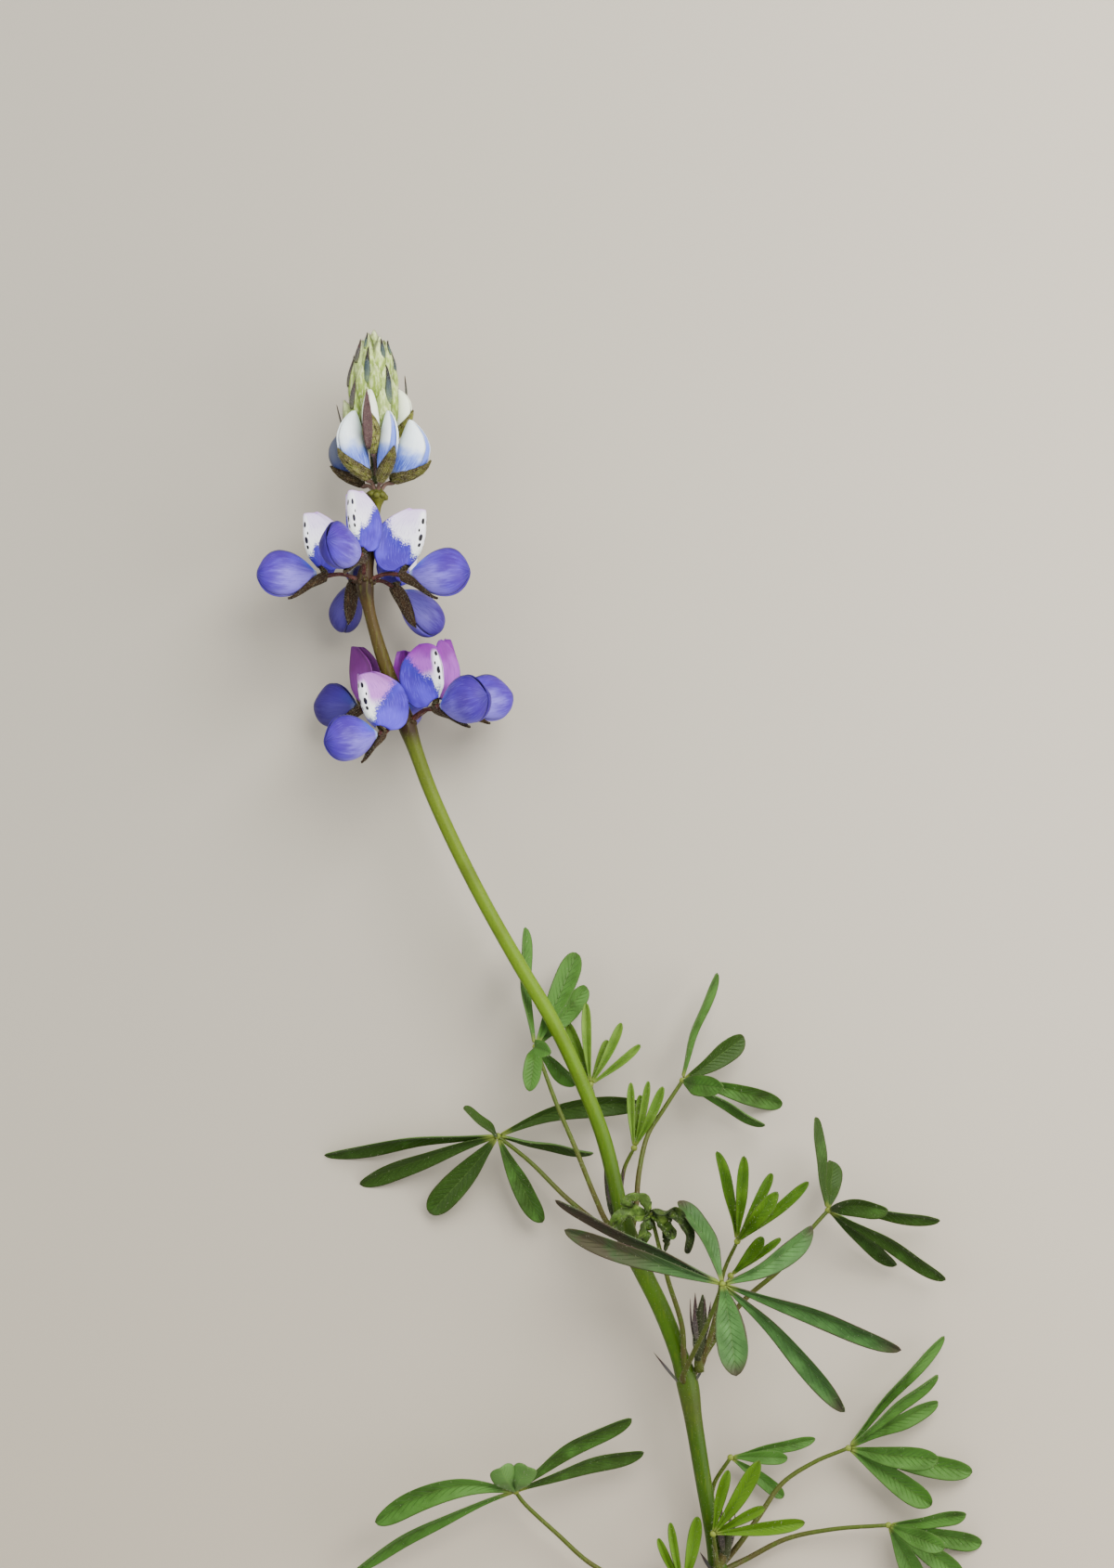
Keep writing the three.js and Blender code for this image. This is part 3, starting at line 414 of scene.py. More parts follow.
def stem_finish():
    """Fresh green below the flowers and olive brown among them, with fine streaks along it."""
    f = Finish("stem_skin")
    height = f.scaled(f.axis("Y"), 1 / 0.24, 0.5)  # 0 below the cut end, 1 above the tip
    f.colour = f.ramp(height, *STEM_COLOURS)
    streaks = f.noise(2600, stretch=(1.0, 0.06, 1.0))
    f.wash(f.step(streaks, 0.5, 0.7, 0.18), (104, 118, 14))
    patches = f.noise(150)
    f.wash(f.step(patches, 0.5, 0.75, 0.25), (50, 50, 10))
    freckles = f.noise(6000, 1.0)
    f.wash(f.step(freckles, 0.55, 0.68, 0.35), (34, 30, 10))
    return f.done(f.scaled(streaks, 0.2, 0.4), streaks, 0.02)


def stalk_finish():
    """Leaf stalks: olive green, flushed brown towards the stem, yellow where the leaflets meet."""
    f = Finish("leaf_stalk")
    _, along, _ = f.pattern()
    flush = f.times(f.step(along, 0.1, 0.8), f.step(f.noise(420), 0.3, 0.6))
    f.colour = f.mix(f.tone(), (60, 80, 14), (72, 50, 28))
    f.wash(f.times(flush, 0.75), (70, 54, 30))
    f.wash(f.tone(-1), (118, 134, 44))
    fine = f.noise(3000, stretch=(1.0, 0.3, 1.0))
    f.wash(f.step(fine, 0.5, 0.75, 0.3), (98, 108, 40))
    return f.done(0.5, fine, 0.04)


def leaflet_finish(name, dark, bright, under, edge, edge_share, blush=(2.0, 3.0)):
    """A leaflet: faint midrib and side veins, dull dark margin, paler and downy beneath. blush says
    from where to where along it the edge's colour spreads over the tip."""
    f = Finish(name, sheen=0.04, nap=0.35)
    across, along, side = f.pattern()
    out = f.size(across)
    patches = f.noise(300, 3.0)
    shade = f.plus(patches, f.minus(f.tone(), f.tone(-1)))
    f.colour = f.mix(f.step(shade, 0.25, 0.8), dark, bright)
    fine = f.noise(4200)
    f.wash(f.step(fine, 0.52, 0.75, 0.3), under)
    slant = f.minus(f.times(along, 14.0), f.times(out, 2.4))
    wave = f.size(f.minus(f.maths("FRACT", slant), 0.5))
    veins = f.times(f.step(wave, 0.38, 0.5), f.step(out, 0.95, 0.3))
    f.wash(f.times(veins, 0.12), under)
    f.wash(f.step(side, 0.2, -0.2, 0.7), under)
    rib = f.step(out, f.scaled(along, -0.05, 0.085), 0.01)
    f.wash(f.times(rib, 0.3), (96, 124, 58))
    # Painted shade: the upper side is darkened along the midrib's crease.
    midrib_crease_shade = f.times(f.step(out, 0.2, 0.06), f.step(side, -0.2, 0.2))
    f.wash(f.times(midrib_crease_shade, 0.3), dark)
    mottle = f.step(patches, 0.3, 0.62)
    margin = f.most(f.step(out, 0.84, 0.99), f.step(along, 0.95, 1.0))
    margin = f.times(f.times(margin, mottle), edge_share)
    flush = f.times(f.step(along, blush[0], blush[1], 0.75), f.step(patches, 0.2, 0.55))
    f.wash(f.most(margin, flush), edge)
    f.wash(f.step(along, 0.1, 0.0), (116, 130, 50))
    relief = f.minus(f.scaled(fine, 0.3, patches), f.times(veins, 0.8))
    return f.done(f.scaled(fine, 0.25, 0.42), relief, 0.12, glow=0.1)


def withered_finish():
    """A dying leaf: dull green, pale where its underside is turned up, dark at the edges and tips."""
    f = Finish("withered_blade", gloss=0.25)
    across, along, side = f.pattern()
    out = f.size(across)
    f.colour = f.ramp(f.noise(700, 3.0), (0.34, (30, 44, 8)), (0.5, (60, 86, 22)), (0.66, (98, 122, 44)))
    f.wash(f.step(side, 0.2, -0.2, 0.45), (84, 108, 46))
    f.wash(f.times(f.tone(-1), 0.8), (92, 120, 46))
    f.wash(f.tone(), (18, 26, 6))
    # Painted shade: each leaflet is darkened along its middle crease near its foot.
    crease = f.times(f.step(out, 0.3, 0.0), f.step(along, 0.0, 0.2))
    f.wash(f.times(crease, 0.5), (22, 32, 6))
    dead = f.most(f.step(along, 0.7, 1.0, 0.8), f.step(out, 0.75, 1.0, 0.6))
    f.wash(f.times(dead, f.step(f.noise(900), 0.35, 0.6)), (26, 24, 10))
    ridges = f.noise(2200, stretch=(1.0, 1.0, 0.5))
    return f.done(0.6, ridges, 0.2)


def wing_finish():
    """Blue-violet petals, washed with lavender low down near the calyx, with very fine streaks."""
    f = Finish("wing_petal", sheen=0.06)
    across, along, _ = f.pattern()
    out = f.size(across)
    clouds = f.noise(170)
    streaks = f.rays(across, along, 18.0, 2.2)
    broad = f.rays(across, along, 4.0, 0.9)
    f.colour = f.mix(f.step(clouds, 0.36, 0.66), (62, 30, 142), (76, 46, 190))
    wisp = f.scaled(broad, 0.4, -0.2)
    low = f.step(f.plus(out, wisp), 0.78, 0.3)
    near = f.step(f.plus(along, wisp), 0.94, 0.4)
    f.wash(f.times(f.times(low, near), 0.85), (128, 114, 214))
    smudge = f.times(f.step(along, 0.35, 0.72), f.step(out, 0.1, 0.4))
    smudge = f.times(smudge, f.step(f.plus(clouds, wisp), 0.42, 0.62))
    f.wash(f.times(smudge, 0.75), (58, 22, 118))
    brim = f.most(f.step(out, 0.84, 1.0), f.step(along, 0.88, 1.0))
    f.wash(f.times(brim, 0.85), (42, 18, 118))
    f.wash(f.step(streaks, 0.5, 0.66, 0.34), (60, 30, 136))
    f.wash(f.step(streaks, 0.47, 0.32, 0.22), (122, 106, 224))
    claw = f.times(f.step(along, 0.4, 0.02), f.step(out, 0.5, 0.9))
    f.wash(f.times(claw, 0.8), (56, 100, 226))
    f.wash(f.step(along, 0.1, 0.0, 0.8), (180, 206, 240))
    # Painted shade: a wing's tone darkens the wings of flowers that lie in shade.
    f.wash(f.tone(), (32, 17, 80))
    f.wash(f.tone(-1), (98, 78, 216))
    return f.done(f.scaled(streaks, 0.2, 0.42), streaks, 0.05, glow=0.06)


BANNER_DOTS = [  # across, along, half width, half length
    (0.085, 0.77, 0.034, 0.052), (0.09, 0.47, 0.034, 0.058), (0.085, 0.34, 0.026, 0.034),
    (0.14, 0.6, 0.016, 0.03),
]


def banner_finish(name, patch, reach, stripe, rim):
    """A blue banner with a patch that meets the blue in fine specks. patch is its tint at the top
    and lower down, reach where it narrows towards the side, stripe where along the banner it turns
    white, away from the fold and at it, and rim the line round its edge."""
    f = Finish(name, sheen=0.1)
    across, along, side = f.pattern()
    out = f.size(across)
    clouds = f.noise(210)
    streaks = f.rays(across, along, 16.0, 2.0, 3.0)
    blue = f.mix(f.step(clouds, 0.36, 0.66), (60, 34, 156), (82, 60, 208))
    shoulder = f.step(out, reach[0], reach[1], reach[2])
    border = f.plus(f.step(out, 0.15, 0.3, 0.2), f.plus(shoulder, 0.16))
    border = f.minus(along, border)
    blue = f.mix(f.step(border, -0.22, -0.02, 0.7), blue, (44, 30, 156))
    blue = f.mix(f.step(streaks, 0.47, 0.34, 0.3), blue, (112, 98, 238))
    specks = f.times(f.minus(f.noise(4200), 0.5), 0.3)
    wisp = f.times(f.minus(clouds, 0.5), 0.24)
    cover = f.step(f.plus(border, f.plus(specks, wisp)), -0.05, 0.07)
    white = f.mix(f.step(along, 0.45, 0.1), (246, 246, 250), (234, 248, 226))
    patch = f.mix(f.step(f.scaled(clouds, 0.7, along), 0.95, 1.3), patch[1], patch[0])
    patch = f.mix(f.tone(-1), patch, (226, 160, 236))
    pale = f.mix(f.step(along, stripe[0], stripe[1]), white, patch)
    fold = f.times(f.step(out, 0.25, 0.12), f.step(along, stripe[3], stripe[2]))
    pale = f.mix(fold, pale, white)
    pale = f.mix(f.step(streaks, 0.52, 0.68, 0.22), pale, rim)
    f.colour = f.mix(cover, blue, pale)
    edge = f.most(f.step(out, 0.94, 1.0), f.step(along, 0.965, 0.995))
    f.wash(f.times(f.times(edge, cover), 0.7), rim)
    inside = f.step(side, -0.2, 0.2)
    for place, height, wide, tall in BANNER_DOTS:
        aside = f.maths("DIVIDE", f.minus(out, place), wide)
        above = f.maths("DIVIDE", f.minus(along, height), tall)
        far = f.plus(f.times(aside, aside), f.times(above, above))
        dot = f.times(f.step(far, 1.5, 0.9), inside)
        f.wash(dot, (6, 2, 8))
    f.wash(f.step(streaks, 0.54, 0.68, 0.2), (64, 40, 150))
    # Painted shade: a banner's tone darkens the banners of flowers that lie in shade.
    f.wash(f.tone(), (60, 18, 46))
    return f.done(f.scaled(streaks, 0.2, 0.42), streaks, 0.05, glow=0.08)


def calyx_finish():
    """Dark brown, streaked and felted, greener on the buds."""
    f = Finish("calyx_skin", gloss=0.15)
    across, along, _ = f.pattern()
    out = f.size(across)
    streaks = f.rays(across, along, 9.0, 1.6, 3.0)
    brown = f.ramp(streaks, (0.36, (18, 10, 7)), (0.5, (40, 25, 16)), (0.64, (88, 66, 42)))
    green = f.ramp(streaks, (0.38, (58, 56, 14)), (0.5, (104, 112, 32)), (0.62, (152, 154, 84)))
    patches = f.step(f.noise(1100), 0.42, 0.6, 0.75)
    f.colour = f.mix(f.times(f.tone(), f.minus(1.15, patches)), brown, green)
    rim = f.most(f.step(out, 0.55, 0.95), f.step(along, 0.72, 1.0))
    rim = f.times(rim, f.scaled(f.tone(), -0.4, 0.85))
    f.wash(rim, (36, 24, 14))
    fine = f.noise(3600)
    felt = f.times(f.step(fine, 0.5, 0.68), f.scaled(f.tone(), 0.4, 0.25))
    f.wash(felt, (132, 122, 92))
    return f.done(0.6, f.plus(streaks, fine), 0.1)


def pedicel_finish():
    """Flower stalks: dull red, duller and paler under the buds."""
    f = Finish("flower_stalk")
    fine = f.noise(1400)
    f.colour = f.mix(f.step(fine, 0.35, 0.65), (54, 22, 26), (84, 46, 38))
    f.wash(f.tone(), f.mix(fine, (92, 74, 58), (112, 88, 80)))
    return f.done(0.5, fine, 0.05)


def bud_petal_finish(name, keel):
    """White towards the tip, blue in a band above the cup. keel is for the body under the banner,
    whose across runs from 1 on the banner's side to -1 at the keel."""
    f = Finish(name, sheen=0.04)
    across, along, _ = f.pattern()
    out = f.scaled(across, -0.5, 0.5) if keel else f.size(across)
    clouds = f.times(f.minus(f.noise(420), 0.5), 0.3)
    low = f.plus(f.minus(1.0, along), f.times(out, 0.1))
    low = f.plus(low, clouds)
    streaks = f.rays(out, along, 16.0, 1.6, 3.0)
    f.colour = f.mix(f.step(low, 0.38, 0.58, 0.92), (239, 251, 253), (122, 155, 241))
    deep = f.times(f.step(low, 0.45, 0.7), f.step(streaks, 0.36, 0.56, 0.85))
    f.wash(deep, (52, 70, 196))
    f.wash(f.step(low, 0.74, 0.95, 0.6), (196, 214, 240))
    f.wash(f.step(streaks, 0.52, 0.68, 0.16), (140, 164, 214))
    if keel:
        f.wash(f.step(along, 0.96, 0.8, 0.8), (104, 128, 232))
    f.wash(f.tone(), (24, 28, 70))
    f.wash(f.tone(-1), (238, 246, 214))
    return f.done(0.45, streaks, 0.03, glow=0.06)


def small_bud_finish():
    """Downy yellow-green buds of the tip, paler at the edges, with painted shade on their flanks where they
    tuck in.
    """
    f = Finish("small_bud", gloss=0.15, sheen=0.15, nap=0.4)
    out, along, _ = f.pattern()
    fine = f.noise(2400, stretch=(1.0, 0.3, 1.0))
    # Darker towards each bud's foot: partly its own colour, partly painted shade where the buds overlap.
    f.colour = f.ramp(along, (0.0, (70, 94, 22)), (0.3, (118, 142, 48)), (0.65, (166, 190, 92)),
                      (0.93, (198, 208, 146)), (1.0, (150, 150, 110)))
    f.wash(f.step(fine, 0.48, 0.64, 0.6), (218, 230, 172))
    f.wash(f.step(fine, 0.47, 0.36, 0.5), (92, 112, 34))
    f.wash(f.step(f.noise(420), 0.48, 0.7, 0.4), (108, 134, 52))
    # Painted shade: the flanks, away from each bud's outer side, are darkened where the buds tuck in.
    f.wash(f.step(out, 0.86, 0.2, 0.85), (62, 78, 20))
    f.wash(f.tone(), (46, 52, 26))
    f.wash(f.tone(-1), (232, 240, 196))
    return f.done(0.6, fine, 0.06, glow=0.05)


def bract_finish():
    """Slender bracts: grey-green at the foot, slate and dark purple above."""
    f = Finish("bract_blade", gloss=0.15)
    across, along, _ = f.pattern()
    fine = f.noise(1500)
    f.colour = f.ramp(f.scaled(fine, 0.5, along), (0.15, (116, 134, 70)), (0.45, (76, 92, 78)),
                      (0.8, (54, 66, 70)), (1.1, (36, 30, 30)))
    f.wash(f.step(f.size(across), 0.6, 1.0, 0.5), (76, 84, 50))
    f.wash(f.tone(), f.mix(fine, (40, 24, 26), (96, 74, 72)))
    return f.done(0.6, fine, 0.06)


def hair_finish():
    f = Finish("pale_down", gloss=0.15)
    f.colour = f.mix(f.noise(800, 1.0), (132, 134, 106), (172, 172, 150))
    return f.done(0.5, glow=0.2)


FINISH = {
    "stem": stem_finish(),
    "stalk": stalk_finish(),
    "leaflet": leaflet_finish("mature_leaflet", (37, 62, 4), (64, 106, 34), (84, 122, 58),
                              (50, 46, 20), 0.4),
    "front leaflet": leaflet_finish("front_leaflet", (46, 78, 32), (72, 116, 54), (90, 124, 74),
                                    (60, 34, 36), 0.95, blush=(0.82, 0.98)),
    "flushed leaflet": leaflet_finish("flushed_leaflet", (38, 66, 26), (60, 98, 46), (78, 106, 64),
                                      (62, 38, 36), 1.0, blush=(0.25, 0.7)),
    "young leaflet": leaflet_finish("young_leaflet", (48, 82, 0), (76, 112, 8), (100, 132, 34),
                                    (48, 54, 14), 0.7),
    "palest leaflet": leaflet_finish("palest_leaflet", (72, 106, 20), (104, 136, 46), (124, 150, 70),
                                     (76, 96, 32), 0.5),
    "withered": withered_finish(),
    "wing": wing_finish(),
    "fresh banner": banner_finish("fresh_banner", ((222, 206, 240), (228, 220, 244)), (0.34, 1.04, 0.43),
                                  (0.35, 0.8, 0.9, 0.99), (188, 116, 220)),
    "aged banner": banner_finish("aged_banner", ((120, 30, 140), (160, 72, 184)), (0.2, 1.1, 0.48),
                                 (0.3, 0.55, 0.72, 0.92), (90, 26, 120)),
    "calyx": calyx_finish(),
    "pedicel": pedicel_finish(),
    "bud petal": bud_petal_finish("bud_petal", False),
    "bud body": bud_petal_finish("bud_keel", True),
    "small bud": small_bud_finish(),
    "bract": bract_finish(),
    "hair": hair_finish(),
}
HAIRS = hair_tree()


# Stem: centre line from the cut end to the base of the bud head, with its radius

STEM = [
    (13.2, -118.5, 1.5, 1.35), (12.5, -110, 2.6, 1.35), (11.3, -99, 4.4, 1.65), (10.6, -94, 5.0, 1.4),
    (8.7, -83, 6.6, 1.4), (6.9, -72, 7.9, 1.55), (5.9, -65.9, 8.6, 1.9), (4.5, -61, 9.1, 1.6),
    (1.4, -52.9, 10.2, 1.55), (-2.2, -45.5, 11.1, 1.6), (-4.3, -40.9, 11.6, 1.9), (-5.8, -35, 12.1, 1.4),
    (-8.8, -22.7, 13.0, 1.3), (-12.6, -13, 13.6, 1.25), (-17.6, -2.5, 14.0, 1.25), (-23.2, 7.0, 14.3, 1.25),
    (-29.1, 17.4, 14.6, 1.2), (-34.4, 27.8, 14.8, 1.2), (-38.7, 37.4, 15, 1.2), (-41.4, 44.8, 15, 1.3),
    (-42.7, 48.6, 15, 1.6), (-43.8, 52, 15, 1.3), (-47, 60.6, 15.1, 1.15), (-49.2, 68.5, 15.2, 1.05),
    (-49.9, 73, 15.3, 1.55), (-49.5, 76, 15.4, 1.15), (-48.6, 81, 15.4, 0.95), (-47.9, 86.2, 15.3, 0.85),
    (-47.8, 87.8, 15.3, 1.5), (-47.8, 89.2, 15.3, 0.9),
]
STIPULES = [  # root, way, length, width
    ((4.4, -65.6, 9.6), (-0.62, 0.76, 0.15), 7.0, 0.5), ((7.2, -65.2, 9.6), (0.42, 0.86, 0.3), 4.2, 0.5),
    ((-5.8, -41.2, 12.4), (-0.4, 0.85, 0.3), 3.4, 0.6), ((10.2, -98.6, 5.8), (-0.5, 0.8, 0.3), 4.2, 0.6),
]
STEM_RIB_DEPTH = 0.025  # as a share of the radius
SCARS = [  # short stubs round the ring below the large buds, where the stalks of dropped buds stood
    (-49.5, 88.3, 15.6), (-48.9, 88.5, 16.7), (-47.8, 88.2, 17.1), (-46.7, 88.3, 16.7), (-46.1, 87.8, 15.6),
    (-47.2, 88.2, 13.7),
]
SCAR_ROOT = (-47.8, 87.3, 15.3)
SCAR_RADII = (0.5, 0.6)  # at the root and at the tip
WHORL_SCARS = [(-42.8, 48.4, 15.0, 1.75), (-49.95, 72.6, 15.3, 1.8)]  # middle and reach of each rough ring
WHORL_SCAR_TURNS = (8, 47, 84, 121, 166, 214, 262, 313)
WHORL_SCAR_RISES = (0.5, 0.8, 1.1)
WHORL_SCAR_RADII = (0.6, 0.42)


def blade_frame(base, forward, up, size=1.0):
    """Carries points of a blade's own frame, +X forward and +Z up, to their place."""
    x = unit(forward)
    z = np.asarray(up, float)
    z = unit(z - x * np.dot(z, x))
    axes = np.array([x, np.cross(z, x), z]) * size
    return lambda points: np.asarray(points, float) @ axes + np.asarray(base, float)


def pointed_blade(skin, base, way, up, length, width, curl, finish, tone=0.0, down=0.0, thick=0.25):
    """A slender pointed blade, such as a stipule or a bract, hollowed a little along its middle."""
    place = blade_frame(base, way, up)
    t = np.linspace(0, 1, 14)[:, None]
    v = np.linspace(-1, 1, 7)[None, :]
    half = width / 2 * np.sin(np.pi * (0.08 + 0.92 * t) ** 0.85) + 0.02
    grid = grid_of(t * length, v * half, 0.35 * half * v * v - curl * length * t * t)
    thickness = thick / 2 * np.sqrt(1 - 0.8 * v * v) * (1 - 0.6 * t)
    skin.sheet(place(grid), thickness, v, t, finish, tone, down)


def make_stem():
    skin = Skin()
    skin.tube(STEM, 28, 9, 0, down=0.5, ribs=STEM_RIB_DEPTH, ends=(0.0, 0.1))
    for root, way, length, width in STIPULES:
        pointed_blade(skin, root, way, (0, 0, 1), length, width, 0.1, 1, 0.5, down=0.3)
    for tip in SCARS:
        skin.tube([(*SCAR_ROOT, SCAR_RADII[0]), (*tip, SCAR_RADII[1])], 12, 6, 0, down=1.0, ends=(0.0, 0.25))
    for *middle, reach in WHORL_SCARS:
        for number, turn in enumerate(WHORL_SCAR_TURNS):
            rise = WHORL_SCAR_RISES[number % len(WHORL_SCAR_RISES)]
            tip = middle + reach * way_out(turn) + [0, rise, 0]
            rows = [(*middle, WHORL_SCAR_RADII[0]), (*tip, WHORL_SCAR_RADII[1])]
            skin.tube(rows, 10, 5, 0, down=1.0, ends=(0.0, 0.25))
    skin.build("stem", "stem", [FINISH["stem"], FINISH["bract"]],
               dict(density=2.4, length=0.42, radius=0.013, lean=(0.05, 0.9, 0), seed=3))


# Leaves: the hub, the petiole's way down to the stem, and the leaflets as heading, length, lift,
# width, bow, roll and sway, as on the part, without the zeros that a row would end with. tone runs
# from dark to bright, and an eighth number is added to it for one leaflet.

LEAVES = {
    "leaf_left": dict(
        finish="leaflet", tone=-0.35, hub=(-27.1, -22.9, 6.0),
        petiole=[(-21.5, -27.4, 5.4), (-14.9, -33.8, 7), (-8, -39, 9.5), (-4.3, -40.9, 11.6)],
        leaflets=[(-173, 31.3, -11.5, 4.2, 0.04, -55, -0.03, 0.12),
                  (-160, 26.5, -13.5, 4.4, 0.04, -35, -0.02), (-131, 18.8, -14, 5.4, 0, 10),
                  (-63, 17.2, -7, 4.2, 0, 15, 0, 0.3),
                  (-11, 17.4, -12, 3.6, 0.03, 65), (12, 26, -6, 4.4, 0.02, 25, 0.08),
                  (137, 12, 48, 3.0, 0.2, 60)]),
    "leaf_tall": dict(
        finish="leaflet", tone=0.17, hub=(-20.5, -7.0, 13.8),
        petiole=[(-17, -16.5, 15), (-13.4, -25, 15), (-10.2, -33, 14), (-8, -37.6, 13), (-4.3, -41, 11.6)],
        leaflets=[(95, 21.6, -18, 4, 0.02, 60, 0.05, 0.15), (-98, 10.2, 43, 3.6, 0.2),
                  (-18, 6, 62, 3.4, 0.2), (66, 19.6, -27, 4.6),
                  (48, 16.7, -37, 4.2, 0, 20), (-46, 13, -40, 3.6, 0, 30)]),
    "leaf_high": dict(
        finish="leaflet", tone=0.05, hub=(5.0, -13.2, 7.0),
        petiole=[(1.5, -18.5, 7.5), (-1, -22.5, 8), (-2.6, -29, 9.8), (-3.2, -35.5, 10.6),
                 (-4.3, -41, 11.6)],
        leaflets=[(72, 19.7, -3, 3.8, 0.03, 65, 0.04), (35, 13.5, -13, 4.6, 0.04, 20, 0, -0.35),
                  (-15, 19.8, -23, 4, 0.08, 20, 0.04), (-29, 16.8, -10, 3.6, 0.05, 60),
                  (-7, 10.7, 49, 4.2, 0.15)]),
    "leaf_front": dict(
        finish="front leaflet", tone=0.0, hub=(11.5, -47.2, 23.0),
        petiole=[(9, -54.5, 18.5), (6.2, -61, 14), (4.9, -64.6, 11), (5.9, -65.9, 8.6)],
        flushed=[(153, 32.3, 5, 3.5, 0.03, -55, 0, -0.15), (160, 29.7, 14, 4.1, 0.04, -20)],
        leaflets=[(118, 17.1, -24, 4.4, 0, 40, -0.05), (31, 18.9, -15, 5, 0.05, 30, -0.06, 0.12),
                  (-20, 32.5, 4, 4.4, 0.03, 35, 0.02), (-46, 30.1, 6, 4.4, 0.04, 35, 0.04),
                  (-82, 17.5, 31, 6, 0.12)]),
    "leaf_right": dict(
        finish="leaflet", tone=-0.25, hub=(30.2, -35.6, 9.0),
        petiole=[(27.2, -38.9, 9.5), (22.4, -45.2, 9.5), (15.4, -51.5, 8.5), (9, -60.5, 8),
                 (5.9, -65.9, 8.6)],
        leaflets=[(98, 16.8, 10, 3.6, 0.04, 55, 0.03), (84, 9.7, -31, 4, 0, 30),
                  (3, 11.8, 31, 4.4, 0.25, 30, 0.08), (-6, 20, -9, 3.6, 0.04, 50, 0.03),
                  (-31, 24.4, -9, 4, 0.04, 45, 0.03, 0.1), (-40, 17.4, -24, 3.6, 0, 40)]),
    "leaf_low_left": dict(
        finish="leaflet", tone=0.25, hub=(-24.0, -84.4, 8.5),
        petiole=[(-22.6, -86.4, 7.8), (-16.8, -92, 6.4), (-10.7, -97.5, 5.2), (-2.4, -101.5, 4.4),
                 (5.6, -101.5, 4.2), (11.3, -99, 4.4)],
        leaflets=[(-168.6, 25, 7, 5.6, 0.16, -25, -0.14), (-152.7, 32, -8.1, 4, 0.04, -50, -0.05),
                  (32.6, 24, 4.9, 4.4, 0.05, 40, 0.06, -0.35), (15.8, 23.6, -10, 4.2, 0.04, 40, 0.05, -0.35),
                  (118, 8.6, 50, 5.2, 0.1, 180, 0, 0.3), (66, 8.6, 50, 4.8, 0.1, 180, 0, 0.3)]),
    "leaf_low_middle": dict(
        finish="leaflet", tone=0.2, hub=(13.4, -78.9, 5.0),
        petiole=[(10.4, -84.2, 3.6), (10.4, -91, 2.8), (11.2, -96, 3.2), (11.3, -99, 4.4)],
        leaflets=[(12, 15.2, -4, 2.6, 0.03, 20), (0, 10, 8, 2.8, 0.03),
                  (-38, 12.4, -16, 2.8, 0.03, 0, 0.03)]),
    "leaf_low_right": dict(
        finish="leaflet", tone=0.2, hub=(33.9, -77.2, 5.5),
        petiole=[(28, -79.7, 5), (22.4, -83.4, 5), (18.4, -89, 5.4), (15.2, -93.5, 5.6), (11.3, -98.4, 4.6)],
        leaflets=[(49, 25.7, -4, 3.8, 0.04, 50, 0.02), (40, 20.3, 6, 3.8, 0.04, 50, 0.02),
                  (26, 17.9, -10, 4.2, 0.04, 35, 0.03), (-6, 15.9, 11, 4.8, 0.05, 10),
                  (-12, 22.7, -10, 4.8, 0.04, 10), (-35, 17.9, -6, 4.8, 0.04, 10)]),
    "leaf_lowest_right": dict(
        finish="leaflet", tone=0.12, hub=(40.9, -90.7, 4.8),
        petiole=[(31.2, -91.6, 3.4), (23.2, -93.4, 2.4), (16, -97, 2.6), (11.3, -99, 4.4)],
        leaflets=[(8, 13.7, 0, 3.6, 0.05, 30), (-13, 17.7, -15.5, 4.4, 0.05, 20),
                  (-36, 16.7, -13, 4.4, 0.05, 10), (-63, 13, -9, 4.4, 0.04),
                  (-20, 11.1, 24, 4, 0.1)]),
    "leaf_withered": dict(
        finish="withered", tone=0.0, hub=(-0.7, -35.4, 18.0),
        petiole=[(1.1, -42.6, 16.6), (2.4, -47.4, 15), (4.8, -55.4, 12.6), (5.2, -61.8, 10.8),
                 (5.9, -65.9, 8.6)],
        leaflets=[]),
}
WITHERED_LEAFLETS = [  # tone, then the way out from the hub with width and twist in degrees
    (-0.1, [(-0.9, -35.2, 18, 1.2, 30), (-1.7, -34.6, 18.3, 2.4, 60), (-2.7, -33.2, 18.9, 3.0, 95),
            (-4.0, -33.3, 19.1, 2.8, 120), (-4.0, -34.5, 18.5, 1.6, 150)]),
    (-0.3, [(-0.9, -35.6, 18, 1.2, 0), (-2.5, -35.9, 18.3, 2.7, 25), (-4.5, -36.1, 18.3, 3.1, 60),
            (-6.2, -36.7, 18.0, 2.6, 10), (-7.6, -38.0, 17.2, 1.4, -30)]),
    (0.1, [(-0.9, -35.7, 18, 1.2, 0), (-1.7, -36.6, 18.7, 2.4, -40), (-2.5, -37.9, 19.0, 3.0, -75),
           (-2.5, -39.6, 18.6, 2.6, -30), (-1.8, -40.8, 17.7, 1.3, 20)]),
    (0.6, [(-0.5, -35.3, 18, 1.0, 0), (0.1, -34.8, 18.4, 1.8, 40), (1.8, -35.0, 19.0, 2.3, 70),
           (3.3, -35.0, 19.0, 2.7, 20), (4.1, -36.9, 18.8, 2.5, -50), (5.3, -38.9, 18.2, 2.5, -80),
           (5.5, -40.7, 17.6, 2.1, -30), (5.8, -42.5, 16.8, 1.3, 10)]),
    (0.1, [(-0.5, -35.6, 18, 1.0, 0), (0.4, -36.4, 18.2, 2.3, -30), (0.8, -37.9, 18.4, 2.8, -65),
           (2.2, -38.7, 18.1, 2.7, -20), (3.8, -38.7, 17.6, 1.7, 30)]),
    (0.7, [(1.8, -38.2, 17.9, 1.4, 0), (2.5, -39.6, 17.6, 1.9, 40), (2.4, -40.9, 17.2, 1.7, 80),
           (1.8, -42.1, 16.8, 1.0, 40)]),
]
